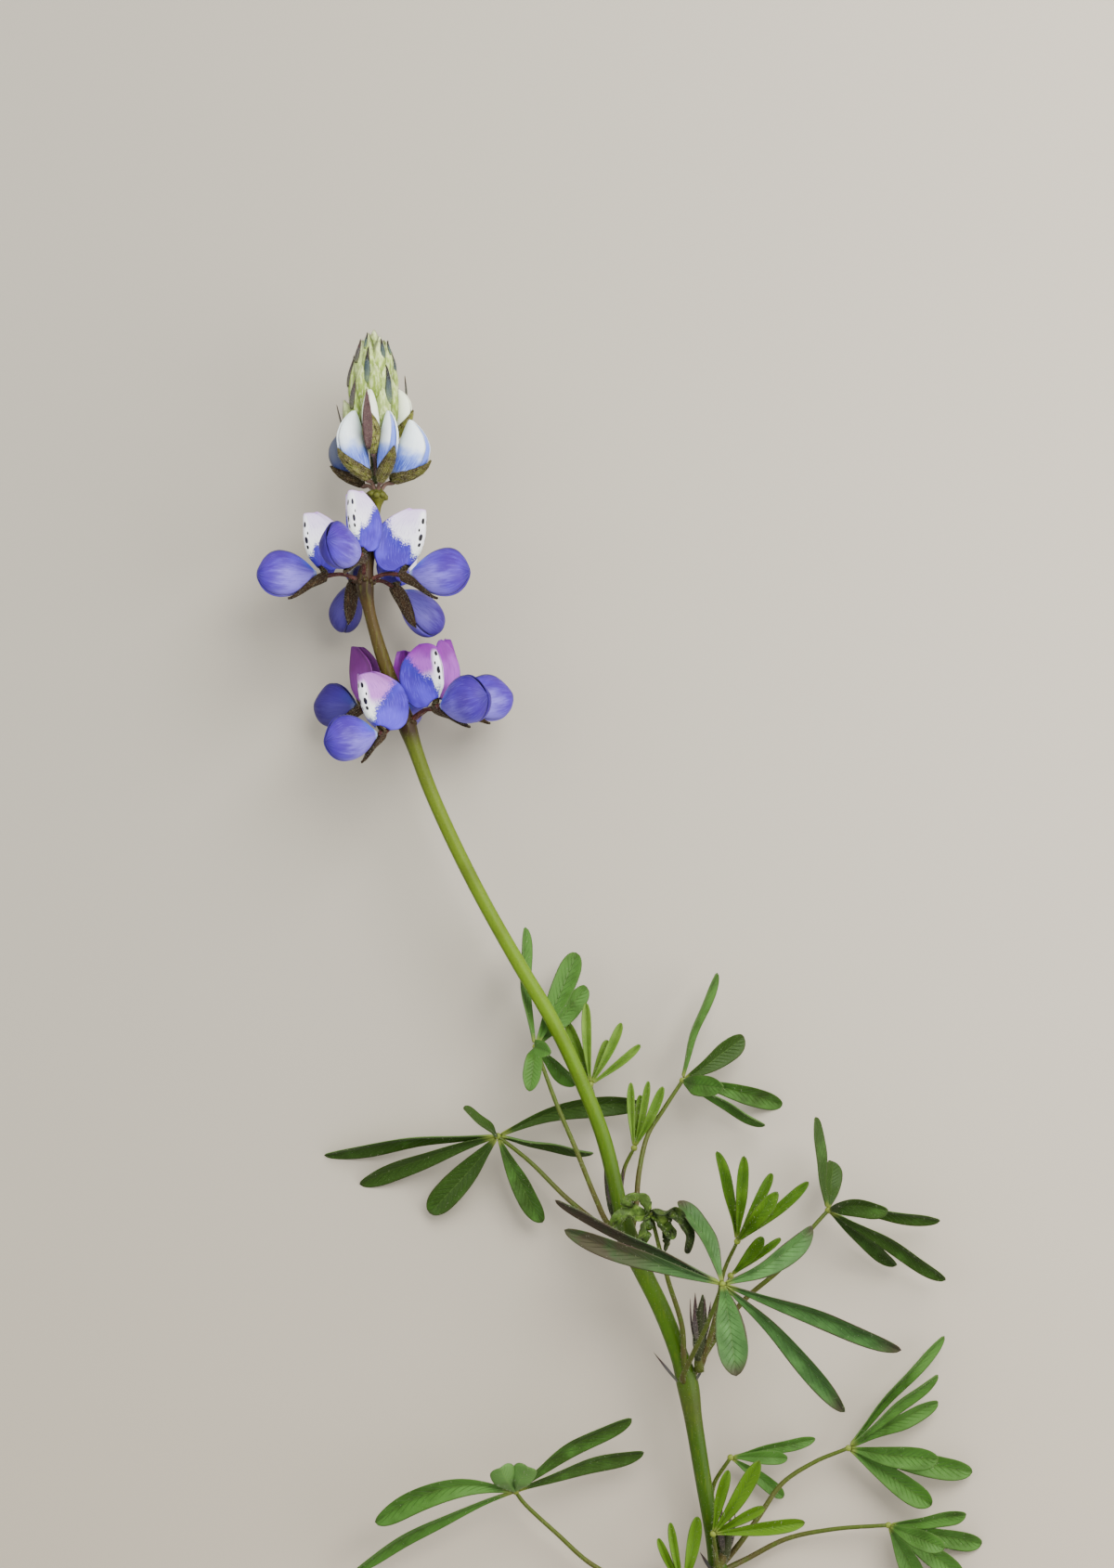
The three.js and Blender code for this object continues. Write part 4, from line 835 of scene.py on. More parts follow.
# Side shoots: root, the bud's start, end and half width, tone, and the small leaves as hub, petiole
# and leaflets
SIDE_SHOOTS = {
    "side_shoot_high": dict(
        root=(-5.6, -38.6, 9.4), bud=((-6.6, -37.6, 10.6), (-8.2, -27.5, 10.8), 1.4), tone=0.0,
        finish="palest leaflet",
        leaves=[((-11.0, -13.8, 8.5), [(-8.8, -21.8, 8.4), (-6.6, -32, 8)],
                 [(93, 14.2, 0, 2.3, 0.05), (63, 12.1, -10, 2.2, 0.05),
                  (38, 11.2, -10, 1.9, 0.05), (111, 12.1, -14, 2.2, 0.05),
                  (68, 9.5, -32, 2.2)]),
                ((-3.4, -24.9, 7.2), [(-5.1, -28.5, 6.9), (-5.8, -34, 7.4)],
                 [(93, 11.5, 5, 1.8, 0.05), (78, 11.9, 0, 1.7, 0.05),
                  (65, 11.9, 5, 2.3, 0.05), (83, 9.6, -18, 1.8)])]),
    "side_shoot_middle": dict(
        root=(7.8, -63.4, 10.2), bud=((7.6, -61.4, 11), (8.4, -50, 11.4), 1.6), tone=0.0,
        leaves=[((14.2, -40.3, 17.5), [(11.9, -46, 14.5), (10.6, -53.6, 12.8)],
                 [(103, 16, 4, 2.8, 0.05, 25), (86, 15.2, 11, 2.8, 0.05, 10),
                  (53, 12.7, 28, 3.8, 0.15), (40, 16, 2, 2.6, 0.05),
                  (62, 13.5, -16, 2.4)]),
                ((13.2, -46.6, 12.8), [(12, -50, 11.9), (10.2, -56.6, 10.6)],
                 [(50, 8.7, 0, 3, 0.05), (36, 10.9, -8, 1.8, 0.05)])]),
    "side_shoot_low": dict(
        root=(11, -98, 6.9), bud=((12.2, -97, 6.8), (13, -90.6, 8), 1.2), tone=0.35,
        leaves=[((10.2, -91.3, 12.0), [(10.6, -94.2, 9.6)],
                 [(77, 11.5, 5, 2.6, 0.05), (59, 15.9, 15, 3.8, 0.05),
                  (26, 10.1, -11, 2.6, 0.05), (8, 16.1, 7, 3.4, 0.05)]),
                ((5.1, -101.4, 9.0), [(7.6, -100.2, 8.2)],
                 [(116, 10, 0, 1.9, 0.05), (101, 12.1, 5, 2, 0.05),
                  (79, 13, 0, 3.2, 0.05)])]),
}
SHOOT_BRACTS = [  # round a side shoot's bud: turn, distance out in its radii, length, spread
    (250, 0.55, 8.2, 0.22), (325, 0.6, 6.8, 0.3), (400, 0.5, 7.8, 0.12), (475, 0.6, 6.2, 0.3),
    (550, 0.55, 7.4, 0.18),
]
LEAFLET_FOLD = 24  # degrees that each half rises from the midrib
YOUNG_FOLD = 40
LEAFLET_ROOT = 0.55  # how far from the hub's middle a leaflet starts
LEAFLET_ROWS = 30
LEAFLET_COLUMNS = np.array([1, 0.93, 0.78, 0.58, 0.38, 0.22, 0.1, 0,
                            -0.1, -0.22, -0.38, -0.58, -0.78, -0.93, -1])
LEAFLET_THICK = 0.34
LEAFLET_WIDEST = 0.68  # as a share of its length
MIDRIB = 0.2  # how far the midrib stands out beneath
MIDRIB_GROOVE = 0.07  # how far it sinks in above
HUB_BALL = (0.58, 0.7)  # radius, and height as a share of it
PETIOLE_RADIUS = (0.34, 0.55)  # at the hub and at the stem
YOUNG_PETIOLE_RADIUS = (0.3, 0.5)


def leaflet_outline(t):
    """Half the width at a share of the length: narrow at the root, widest past the middle, with a
    blunt point."""
    widening = 0.16 + 0.8 * np.sin(np.pi / 2 * np.clip(t / LEAFLET_WIDEST, 0, 1)) ** 1.25
    closing = np.clip((t - LEAFLET_WIDEST) / (1 - LEAFLET_WIDEST), 0, 1)
    return widening * np.clip(1 - closing ** 2.8, 0, 1) ** 0.6


def leaflet(skin, hub, row, finish, tone, fold=LEAFLET_FOLD):
    """A narrow leaflet, creased along its midrib and a little wavy."""
    heading, length, lift, width, bow, roll, sway, own_tone = (*row, *[0] * (8 - len(row)))
    yaw, pitch = math.radians(heading), math.radians(lift)
    along = np.array([math.cos(yaw) * math.cos(pitch), math.sin(yaw) * math.cos(pitch), math.sin(pitch)])
    sideways = np.array([-math.sin(yaw), math.cos(yaw), 0])
    upward = np.cross(along, sideways)
    side, up = turned(sideways, along, roll), turned(upward, along, roll)
    s = np.linspace(0, 1, LEAFLET_ROWS)
    t = 0.45 * s + 0.55 * (0.5 - 0.5 * np.cos(np.pi * s))
    u = t + (1 - t) * LEAFLET_ROOT / length
    bend = np.sin(np.pi * u)
    middle = (np.array(hub) + np.outer(length * u, along) + np.outer(bow * length * bend, upward)
              + np.outer(sway * length * bend, sideways))
    phase, swing = CHANCE.uniform(0, 6.28), CHANCE.uniform(-1, 1)
    waves = np.sin(2 * np.pi * 1.4 * t + phase) * np.sin(np.pi * t)
    middle += np.outer(0.22 * waves, up) + np.outer(0.3 * swing * bend, side)
    half = width / 2 * leaflet_outline(t) + 0.03
    v = LEAFLET_COLUMNS
    crease = (np.sqrt(v * v + 0.01) - 0.1) / (math.sqrt(1.01) - 0.1) - 0.16 * np.sin(np.pi * np.abs(v))
    fold = math.radians(fold)
    ripple = 0.05 * np.sin(9 * t + phase * 2)[:, None] * (v * np.abs(v))[None, :]
    grid = (middle[:, None] + side * (half[:, None] * v * math.cos(fold))[..., None]
            + up * (half[:, None] * (crease * math.sin(fold) + ripple))[..., None])
    across, ahead = np.broadcast_arrays(v[None, :], t[:, None])
    lens = LEAFLET_THICK / 2 * np.sqrt(np.clip(1 - v ** 4, 0, 1))[None, :] * np.ones((LEAFLET_ROWS, 1))
    near = np.exp(-((v[None, :] * half[:, None]) / 0.2) ** 2)
    upper = lens - MIDRIB_GROOVE * near
    lower = lens + MIDRIB * near * (1 - 0.75 * t[:, None])
    down = 0.25 + 0.75 * np.abs(across) ** 4
    tone = tone + own_tone + 0.06 * swing
    skin.sheet(grid, upper, across, ahead, finish, tone, down, lower, kept=0.3)


def leaf(skin, hub, petiole, leaflets, tone, stalk=PETIOLE_RADIUS, fold=LEAFLET_FOLD):
    """The petiole, a small ball at its end, and the leaflets round it."""
    path = [hub, *petiole]
    radii = np.linspace(*stalk, len(path))
    skin.tube([(*p, r) for p, r in zip(path, radii)], 12, 8, 1, 0.15, down=0.8)
    skin.rings(ball_rings(hub, *HUB_BALL), 1, -0.7, down=1.0)
    for row in leaflets:
        leaflet(skin, hub, row, 0, tone, fold)


def shrivelled_leaflet(skin, tone, rows):
    """A dying leaflet: a crumpled strip that twists along its way."""
    rows = smooth_rows(rows, 9)
    middle, width, twist = rows[:, :3], rows[:, 3], np.radians(rows[:, 4])[:, None]
    along = unit(np.gradient(middle, axis=0))
    side = unit(np.cross([0.0, 0.0, 1.0], along))
    up = np.cross(along, side)
    side, up = side * np.cos(twist) + up * np.sin(twist), up * np.cos(twist) - side * np.sin(twist)
    t = np.linspace(0, 1, len(rows))[:, None]
    v = LEAFLET_COLUMNS[None, :]
    half = width[:, None] / 2 * np.sqrt(np.clip(1 - np.clip((t - 0.8) / 0.2, 0, 1) ** 2.5, 0.01, 1))
    curl = 0.85 * np.abs(v) ** 1.2 + 0.3 * np.sin(13 * t + 40 * tone) * v
    curl = curl + 0.08 * np.sin(27 * t + 2 * v)
    grid = middle[:, None] + side[:, None] * (half * v)[..., None] + up[:, None] * (half * curl)[..., None]
    thickness = 0.16 * np.sqrt(1 - 0.9 * v ** 4) * np.ones_like(t)
    skin.sheet(grid, thickness, v, t, 0, tone, down=0.5)


def ball_rings(centre, radius, flatness, rows=9, sides=14):
    """The rings of points of a flattened ball."""
    heights = np.sin(np.linspace(-1.35, 1.35, rows))[:, None]
    angles = angles_round(sides)
    wide = radius * np.sqrt(1 - heights ** 2)
    ball = grid_of(wide * np.cos(angles), wide * np.sin(angles), radius * flatness * heights)
    return np.array(centre) + ball


def make_leaves():
    for number, (name, row) in enumerate(LEAVES.items()):
        skin = Skin()
        withered = name == "leaf_withered"
        leaf(skin, row["hub"], row["petiole"], row["leaflets"], row["tone"])
        for ribbon in WITHERED_LEAFLETS if withered else ():
            shrivelled_leaflet(skin, *ribbon)
        for leaflet_row in row.get("flushed", ()):
            leaflet(skin, row["hub"], leaflet_row, 2, row["tone"])
        skin.build(name, "withered_leaf" if withered else "leaf",
                   [FINISH[k] for k in (row["finish"], "stalk", "flushed leaflet")],
                   dict(density=2.2, length=0.42, spread=0.6, seed=20 + number))


def spindle_reach(t):
    """A bud's half width at a share of its length."""
    return (0.5 + 0.5 * ease(t, 0, 0.3)) * np.clip(1 - ease(t, 0.5, 1.04), 0.03, 1) ** 0.6


def spindle(skin, start, end, radius, finish, tone=0.0, down=1.0, sides=12, rows=14, out=(0.2, 0.1, 1.0)):
    """A closed, pointed bud, with its outer side the way that out says."""
    start, end = np.array(start, float), np.array(end, float)
    way = unit(end - start)
    across = unit(out - way * np.dot(out, way))
    other = np.cross(way, across)
    t = np.linspace(0, 1, rows)
    reach = radius * spindle_reach(t)
    angles = angles_round(sides)
    rings = (start + np.outer(t, end - start))[:, None]
    rings = rings + (reach[:, None] * np.cos(angles))[..., None] * across
    rings = rings + (reach[:, None] * np.sin(angles))[..., None] * other
    skin.rings(rings, finish, tone, down)


def make_side_shoots():
    for number, (name, row) in enumerate(SIDE_SHOOTS.items()):
        skin = Skin()
        start, end, radius = row["bud"]
        inside = np.array(start) + 0.3 * (np.array(end) - start)
        skin.tube([(*row["root"], 0.9), (*inside, 0.8)], 12, 6, 1, 0.3, down=1.0)
        spindle(skin, start, end, 0.75 * radius, 2, 1.0)
        for turn, share, long, spread in SHOOT_BRACTS:
            out = way_out(turn)
            base = inside + out * radius * share
            way = (out[0] * spread, 1, out[2] * spread)
            pointed_blade(skin, base, way, out, long, 1.0, 0.08, 3, 0.7, down=1.0)
        for hub, petiole, leaflets in row["leaves"]:
            leaf(skin, hub, [*petiole, row["root"]], leaflets, row["tone"], YOUNG_PETIOLE_RADIUS, YOUNG_FOLD)
        finish = row.get("finish", "young leaflet")
        skin.build(name, "side_shoot", [FINISH[k] for k in (finish, "stalk", "small bud", "bract")],
                   dict(density=3.5, length=0.5, spread=0.5, seed=40 + number))


# Flowers, in a frame with +X forward to the wings' tip and +Z on the banner's side

WINGS = [  # along, centre height, half height, half width
    (1.4, 0.05, 0.45, 0.4), (2.3, 0.0, 1.3, 1.0), (3.6, -0.1, 2.5, 1.8), (5.6, -0.2, 3.6, 2.65),
    (7.8, -0.25, 4.0, 2.95), (9.4, -0.3, 3.6, 2.65), (10.6, -0.38, 2.6, 1.95), (11.3, -0.44, 1.5, 1.15),
    (11.6, -0.46, 0.75, 0.6), (11.68, -0.47, 0.08, 0.06),
]
WINGS_OPENING = 5  # degrees that stay open between the wings along their top
WINGS_LIP = 0.14  # how far each turns out there
WINGS_CREST = 1.14  # how high the wings rise in their pointed upper half, as a share of the half height
BANNER = [  # midline along and height, width of one side, rise of its edge
    (1.1, 1.6, 2.4, -1.1), (1.9, 2.5, 5.2, -1.8), (2.9, 3.8, 7.5, -1.7), (3.6, 6.2, 8.5, -0.7),
    (3.75, 8.4, 7.6, 0.0), (3.7, 9.9, 5.9, 0.0), (3.6, 10.9, 4.0, 0.0), (3.5, 11.4, 2.7, 0.0),
]
BANNER_TURN = 0.4  # within how much of its breadth a side turns back
BANNER_CROWDING = 1.29  # how much closer its columns stand at the edges
BANNER_NOTCH = 0.9  # half width of the dip where a fold meets the top
BANNER_FLARE = 0.5  # how far the edge stands out
BANNER_FURROW = (0.25, 0.3)  # depth and half width of the groove along its middle
BANNER_ACROSS = 10  # more than the breadth of any side
LOWER_LIP = [  # along, depth, half width, reach in degrees
    (-0.5, 0.5, 0.6, 160), (0.7, 1.25, 1.1, 100), (2.3, 2.1, 1.5, 62), (3.8, 3.25, 2.0, 38),
    (5.2, 4.2, 2.5, 18), (6.1, 4.6, 2.6, 5), (6.4, 4.65, 2.6, 0.8),
]
UPPER_LIP = [(-0.5, 0.5, 0.6, 100), (0.2, 1.3, 1.0, 60), (0.9, 2.3, 1.15, 34), (1.3, 3.0, 1.15, 5)]
LIP_KEEL = (0.18, 0.12)  # height of the ridge along a lip's middle, and its half width as a share
LIP_THICK = 0.17  # how far each side stands off
PETAL_THICK = 0.3
PEDICEL_RADIUS = 0.34
PEDICEL_SWELL = (1.6, 1.0, 1.5, 2.2)  # its radii from the stem to the calyx, as shares
PEDICEL_ARCH = 0.8
PEDICEL_SEAT = 0.6  # how far it goes into the calyx

WHORLS = {"low": (-42.7, 48.6, 15), "high": (-49.9, 73, 15.3)}
# Of each flower: where it sits and points, and for the banner's two sides how large each is, by how
# many degrees it is swept back, and whether it is plain. tone darkens its two wings and its banner
# as painted shade where the flower lies in shade, notch is how deep the fold dips at the banner's top,
# and lip how long the lower lip is.
FLOWERS = {
    "flower_low_1": dict(base=(-46.7, 46.9, 19), forward=(-0.86, -0.08, 0.48), up=(0.05, 1, -0.1), size=0.95,
                         flaps=((0.6, 30, 0), (1, 78, 0)), tone=(0.15, 0.1, -0.3), notch=0.4, lip=0.78),
    "flower_low_2": dict(base=(-50.6, 51.4, 12), forward=(-0.7, 0.1, -0.66), up=(-0.32, 0.95, -0.3),
                         size=0.92, flaps=((0.7, 70, 1), (1, 84, 1)), tone=(0.84, 0.84, 0.6)),
    "flower_low_3": dict(base=(-37.6, 51.3, 18.4), forward=(0.75, 0.22, 0.62), up=(-0.2, 0.95, 0), size=1,
                         flaps=((0.95, 74, 0), (0.75, 16, 1)), tone=(0.2, 0.2, 0), notch=1.3),
    "flower_low_4": dict(base=(-35.4, 52.2, 12.6), forward=(0.9, 0.16, -0.4), up=(0, 0.9, -0.35), size=1,
                         flaps=((0.6, 76, 1), (0.7, 76, 1)), tone=(0, 0, 0.1)),
    "flower_low_5": dict(base=(-43.4, 50.2, 10.1), forward=(0.05, 0.25, -1), up=(0, 0.9, 0.2), size=0.95,
                         flaps=((0.5, 76, 1), (0.5, 76, 1)), tone=(0.4, 0.4, 0.2)),
    "flower_high_1": dict(base=(-56.8, 74.1, 17), forward=(-0.97, 0.07, 0.22), up=(0, 0.9, -0.36), size=1,
                          flaps=((0.8, 70, 0), (0.85, 82, 0)), tone=(0.05, 0, 0)),
    "flower_high_2": dict(base=(-50.2, 77.2, 19.6), forward=(-0.5, 0.27, 0.82), up=(0.05, 0.8, -0.42),
                          size=0.99, flaps=((0.7, 60, 0), (0.76, 72, 0)), tone=(0.55, 0, 0)),
    "flower_high_3": dict(base=(-43.3, 74.2, 18), forward=(0.95, 0.08, 0.3), up=(0, 0.94, -0.34), size=1.03,
                          flaps=((1, 80, 0), (0.8, 58, 0)), tone=(0, 0, 0)),
    "flower_high_4": dict(base=(-52, 73, 12.5), forward=(-0.22, -0.64, -0.74), up=(-0.1, 0.7, -0.65),
                          size=0.92, flaps=((0.8, 76, 0), (0.8, 76, 0)), tone=(0.75, 0.75, 0.3)),
    "flower_high_5": dict(base=(-44.9, 72.2, 13), forward=(0.68, -0.57, -0.47), up=(0.2, 0.6, -0.75), size=1,
                          flaps=((0.8, 76, 0), (0.8, 76, 0)), tone=(0.35, 0.35, 0.1)),
}


def wing(skin, place, sign, tone):
    """One of the two wings: half of a pouch, parted along its pointed top and seamed below."""
    rows = smooth_rows(WINGS, 6)
    shares = np.linspace(0, 1, 21)
    if sign < 0:
        shares = shares[::-1]
    angle = shares * math.radians(180 - WINGS_OPENING)
    x, z, high, wide = (c[:, None] for c in rows.T)
    above = np.clip(angle / (math.pi / 2) - 1, 0, 1)
    rise = np.where(angle < math.pi / 2, -np.cos(angle), WINGS_CREST * above)
    breadth = np.where(angle < math.pi / 2, np.sin(angle), 1 - above ** 1.45)
    lip = WINGS_LIP * ease(shares, 0.93, 1.0) * ease(x, 2, 5)
    y = sign * (0.04 + wide * breadth + lip)
    grid = grid_of(x, y, z + high * rise)
    along = (x - x[0]) / (x[-1] - x[0])
    thickness = PETAL_THICK / 2 * np.sqrt(1 - (2 * shares - 1) ** 6)
    skin.sheet(place(grid), thickness, sign * shares, along, 0, tone)


def banner_sweep(distance, back):
    """How far a side of the banner has gone outward and back at a distance across the sheet."""
    reach = np.linspace(0, BANNER_ACROSS, 400)
    angle = math.radians(back) * (1 - np.exp(-reach / BANNER_TURN))
    gone = [np.concatenate([[0], np.cumsum(way(angle[:-1]))]) * reach[1] for way in (np.cos, np.sin)]
    return [np.interp(distance, reach, far) for far in gone]


def banner(skin, place, flaps, tone, notch):
    """The upright petal, whose two sides are swept back from a groove along its middle."""
    rows = smooth_rows(BANNER, 5)
    shares = np.linspace(-1, 1, 37)
    shares = 0.5 * shares + 0.5 * np.sin(shares * BANNER_CROWDING) / math.sin(BANNER_CROWDING)
    left = shares < 0
    size = np.where(left, flaps[0][0], flaps[1][0])
    x, z, width, rise = (c[:, None] for c in rows.T)
    distance = width * np.abs(shares) * size
    sweeps = [banner_sweep(distance, flap[1]) for flap in flaps]
    outward, behind = (np.where(left, *pair) for pair in zip(*sweeps))
    flare = BANNER_FLARE * ease(np.abs(shares), 0.75, 1.0) * ease(z, 3, 6)
    depth, half = BANNER_FURROW
    furrow = depth * np.exp(-(distance / half) ** 2) * ease(z, 2.5, 5) * ease(z, 11.2, 9.0)
    lift = z + rise * (shares * size) ** 2
    lift = lift - notch * np.exp(-distance / BANNER_NOTCH) * ease(z, 8.5, 11.4)
    grid = grid_of(x - behind - furrow, np.sign(shares) * (outward + flare), lift)
    height = (z - z[0]) / (z[-1] - z[0])
    plain = np.where(left, flaps[0][2], flaps[1][2])  # a plain side has no stripe and dots
    across = np.sign(shares) * (np.abs(shares) + plain * (0.3 - 0.5 * np.abs(shares)))
    height = height + plain * 0.6 * (1 - height)
    thickness = PETAL_THICK / 2 * np.sqrt(1 - shares ** 6)
    skin.sheet(place(grid), thickness, across, height, 0, tone)


def lip_sheet(skin, place, table, down_side, tone):
    """One lip of a calyx, below the flower where down_side is 1 and above it where it is -1."""
    rows = smooth_rows(table, 6)
    x, depth, wide, reach = (c[:, None] for c in rows.T)
    shares = np.linspace(-1, 1, 15) * down_side
    angle = np.radians(reach) * shares
    keel = LIP_KEEL[0] * np.exp(-(shares / LIP_KEEL[1]) ** 2)
    grid = grid_of(x, wide * np.sin(angle), -down_side * (depth + keel) * np.cos(angle))
    along = np.linspace(0, 1, len(rows))[:, None]
    thickness = LIP_THICK * np.sqrt(1 - shares ** 4) * (1.2 - 0.5 * along)
    skin.sheet(place(grid), thickness, shares, along, 0, tone, down=1.0)


def pedicel(skin, node, base, forward, tone=0.0):
    """A flower's stalk, arched a little towards the tip."""
    node, base = np.array(node, float), np.array(base, float)
    middle = node + 0.55 * (base - node) + [0, PEDICEL_ARCH, 0]
    seat = base + PEDICEL_SEAT * unit(forward)
    rows = [(*p, PEDICEL_RADIUS * s) for p, s in zip((node, middle, base, seat), PEDICEL_SWELL)]
    skin.tube(rows, 12, 7, 1, tone, down=0.8, ends=(0.0, 0.2))


def build_calyx(skin, name, finishes, way, length, seed):
    """The calyx with its pedicel, downy the way that it points."""
    skin.build(name + "_calyx", "calyx", [FINISH[k] for k in finishes],
               dict(density=7, length=length, radius=0.018, lean=tuple(0.5 * way), spread=0.5, seed=seed))


def make_flowers():
    for number, (name, flower) in enumerate(FLOWERS.items()):
        base, forward = flower["base"], flower["forward"]
        whorl = name.split("_")[1]
        place = blade_frame(base, forward, flower["up"], flower["size"])
        wings, flag, cup = Skin(), Skin(), Skin()
        for sign, tone in zip((-1, 1), flower["tone"]):
            wing(wings, place, sign, tone)
        wings.build(name + "_wings", "wings", [FINISH["wing"]])
        banner(flag, place, flower["flaps"], flower["tone"][2], flower.get("notch", 0.0))
        kind = {"low": "aged", "high": "fresh"}[whorl]
        flag.build(name + "_banner", kind + "_banner", [FINISH[kind + " banner"]])
        lip = flower.get("lip", 1.0)
        lip_sheet(cup, place, [(along * lip, *row) for along, *row in LOWER_LIP], 1, 0.0)
        lip_sheet(cup, place, UPPER_LIP, -1, 0.15)
        pedicel(cup, WHORLS[whorl], base, forward)
        build_calyx(cup, name, ("calyx", "pedicel"), unit(forward), 0.42, 60 + number)


# Large buds below the tip: base, tip, half width, banner side, and tones of the petals and the cup.
# root is where a pedicel starts, if not at the ring, hood how far the banner wraps, cup and wrap how
# long and how closely the cup is, and bract a leaf-like blade by it.

BUD_RING = (-47.8, 87.8, 15.3)
BUDS = {
    "bud_1": dict(base=(-50.3, 89.8, 12.9), tip=(-55.6, 98.0, 10.8), wide=1.7, up=(0.7, 0.3, -0.3),
                  tone=(0.91, 0.1)),
    "bud_2": dict(base=(-49.3, 90.6, 17.2), tip=(-52.7, 101.9, 19.0), wide=2.35, up=(1, 0, -0.75),
                  tone=(0.0, 0.6)),
    "bud_3": dict(base=(-47.1, 90.2, 17.6), tip=(-45.3, 102.0, 20.2), wide=1.8, up=(-0.45, 0, -0.9),
                  tone=(0.12, 0.45), hood=158),
    "bud_4": dict(base=(-45.1, 90.3, 15.2), tip=(-40.6, 100.1, 17.0), wide=2.7, up=(-1, 0.2, -0.35),
                  tone=(0.0, 0.5), hood=146),
    "bud_5": dict(base=(-44.5, 98.2, 12.4), tip=(-44.0, 106.5, 12.8), wide=1.55, up=(-1, 0, -0.5),
                  tone=(-0.9, 1.0), root=(-47.9, 92.6, 15.2)),
    "bud_6": dict(base=(-48.3, 95.0, 19.4), tip=(-49.0, 105.8, 20.5), wide=1.6, up=(0.1, 0, -1),
                  tone=(-0.8, 1.0), root=(-47.9, 90.8, 15.2), cup=1.2, wrap=1.6,
                  bract=((-0.7, 0.6, 3.2), (-0.045, 1, 0.13), (-0.1, 0, 1), 10.4, 1.75, 0.12)),
}
BUD_HOOD = 179  # how far round a bud its banner wraps, in degrees
BUD_FORM = [  # share of the length, then in half widths: height of fold and keel, and half breadth
    (0.06, 0.2, -0.35, 0.2), (0.14, 0.34, -0.8, 0.44), (0.3, 0.48, -1.32, 0.72), (0.5, 0.58, -1.58, 0.86),
    (0.7, 0.66, -1.46, 0.78), (0.85, 0.7, -1.0, 0.58), (0.94, 0.7, -0.42, 0.38), (0.99, 0.67, 0.15, 0.2),
    (1.01, 0.64, 0.45, 0.08),
]
BUD_BODY_SIDES = 22
BUD_PETAL_THICK = 0.11  # how far each side stands off
BUD_RIDGE = (0.12, 0.06)  # height of the banner's fold, and its half width as a share
BUD_CUP = [  # share of the length, reach in degrees
    (0.0, 150), (0.08, 118), (0.2, 76), (0.34, 50), (0.47, 28), (0.56, 9), (0.59, 1),
]
BUD_CUP_HUG = [  # share of the length, depth and half breadth of what lies closely on the petals
    (0.0, 0.1, 0.1), (0.08, 0.5, 0.36), (0.2, 1.05, 0.6), (0.34, 1.46, 0.78), (0.47, 1.62, 0.84),
    (0.59, 1.62, 0.84), (0.7, 1.5, 0.8), (0.85, 1.08, 0.64), (0.94, 0.6, 0.45),
]
BUD_CUP_ROOM = 0.25  # between the petals and the cup's middle
BUD_CUP_KEEL = (0.14, 0.15)
BUD_CUP_THICK = 0.16


def bud_petals(skin, place, length, wide, tone, hood):
    """The wings' closed body, and the banner folded over it."""
    rows = smooth_rows(BUD_FORM, 5)
    t = rows[:, :1]
    fold, keel, breadth = (c[:, None] * wide for c in rows.T[1:])
    middle, high = (fold + keel) / 2, (fold - keel) / 2
    angles = angles_round(BUD_BODY_SIDES)
    height = middle + 0.93 * high * np.cos(angles)
    skin.rings(place(grid_of(t * length * 0.99, -0.9 * breadth * np.sin(angles), height)), 1, tone)
    shares = np.linspace(-1, 1, 29)
    angle = np.radians(hood) * shares
    ridge = BUD_RIDGE[0] * np.exp(-(shares / BUD_RIDGE[1]) ** 2)
    stand = 1.0 + 0.02 * shares ** 8
    height = middle + high * stand * np.cos(angle) + ridge
    grid = grid_of(t * length, breadth * stand * np.sin(angle), height)
    thickness = BUD_PETAL_THICK * np.sqrt(1 - shares ** 6)
    skin.sheet(place(grid[:, ::-1]), thickness, -shares[::-1], t, 0, tone)


def bud_cup(skin, place, length, wide, tone, stretch, wrap):
    """The calyx that holds a bud from below."""
    rows = np.array(BUD_CUP, float)
    t = np.interp(np.linspace(0, 1, 37), np.linspace(0, 1, len(rows)), rows[:, 0])
    reach = np.minimum(np.interp(t, *rows.T)[:, None] * wrap, rows[0, 1])
    t = t[:, None] * stretch
    depth, flat = (np.interp(t, *np.array(BUD_CUP_HUG)[:, [0, k]].T) for k in (1, 2))
    v = np.linspace(-1, 1, 15)
    angle = np.radians(reach) * v
    depth = depth * wide + BUD_CUP_ROOM + BUD_CUP_KEEL[0] * np.exp(-(v / BUD_CUP_KEEL[1]) ** 2)
    grid = grid_of(t * length, (flat * wide + BUD_CUP_ROOM) * np.sin(angle), -depth * np.cos(angle))
    along = np.linspace(0, 1, len(t))[:, None]
    thickness = BUD_CUP_THICK * np.sqrt(1 - v ** 4) * (1.2 - 0.5 * along)
    skin.sheet(place(grid), thickness, v, along, 0, tone, down=1.0)


def make_buds():
    for number, (name, bud) in enumerate(BUDS.items()):
        base, tip, wide = np.array(bud["base"], float), np.array(bud["tip"], float), bud["wide"]
        length, way = np.linalg.norm(tip - base), unit(tip - base)
        place = blade_frame(base, way, bud["up"])
        petals, cup = Skin(), Skin()
        bud_petals(petals, place, length, wide, bud["tone"][0], bud.get("hood", BUD_HOOD))
        petals.build(name + "_petals", "bud_petals", [FINISH["bud petal"], FINISH["bud body"]])
        bud_cup(cup, place, length, wide, bud["tone"][1], bud.get("cup", 1.0), bud.get("wrap", 1.0))
        pedicel(cup, bud.get("root", BUD_RING), base, way, 0.8)
        if "bract" in bud:
            foot, *blade = bud["bract"]
            pointed_blade(cup, base + foot, *blade, 2, 1.0, down=1.0, thick=0.4)
        build_calyx(cup, name, ("calyx", "pedicel", "bract"), way, 0.4, 80 + number)


# Bud head: a slim core, long downy buds laid over it like tiles, and slender bracts

HEAD_AXIS = [(-47.8, 90, 15.3, 0.8), (-47.9, 96, 15.2, 1.3), (-48.3, 104, 15.1, 1.9), (-48.4, 112, 15, 1.0)]
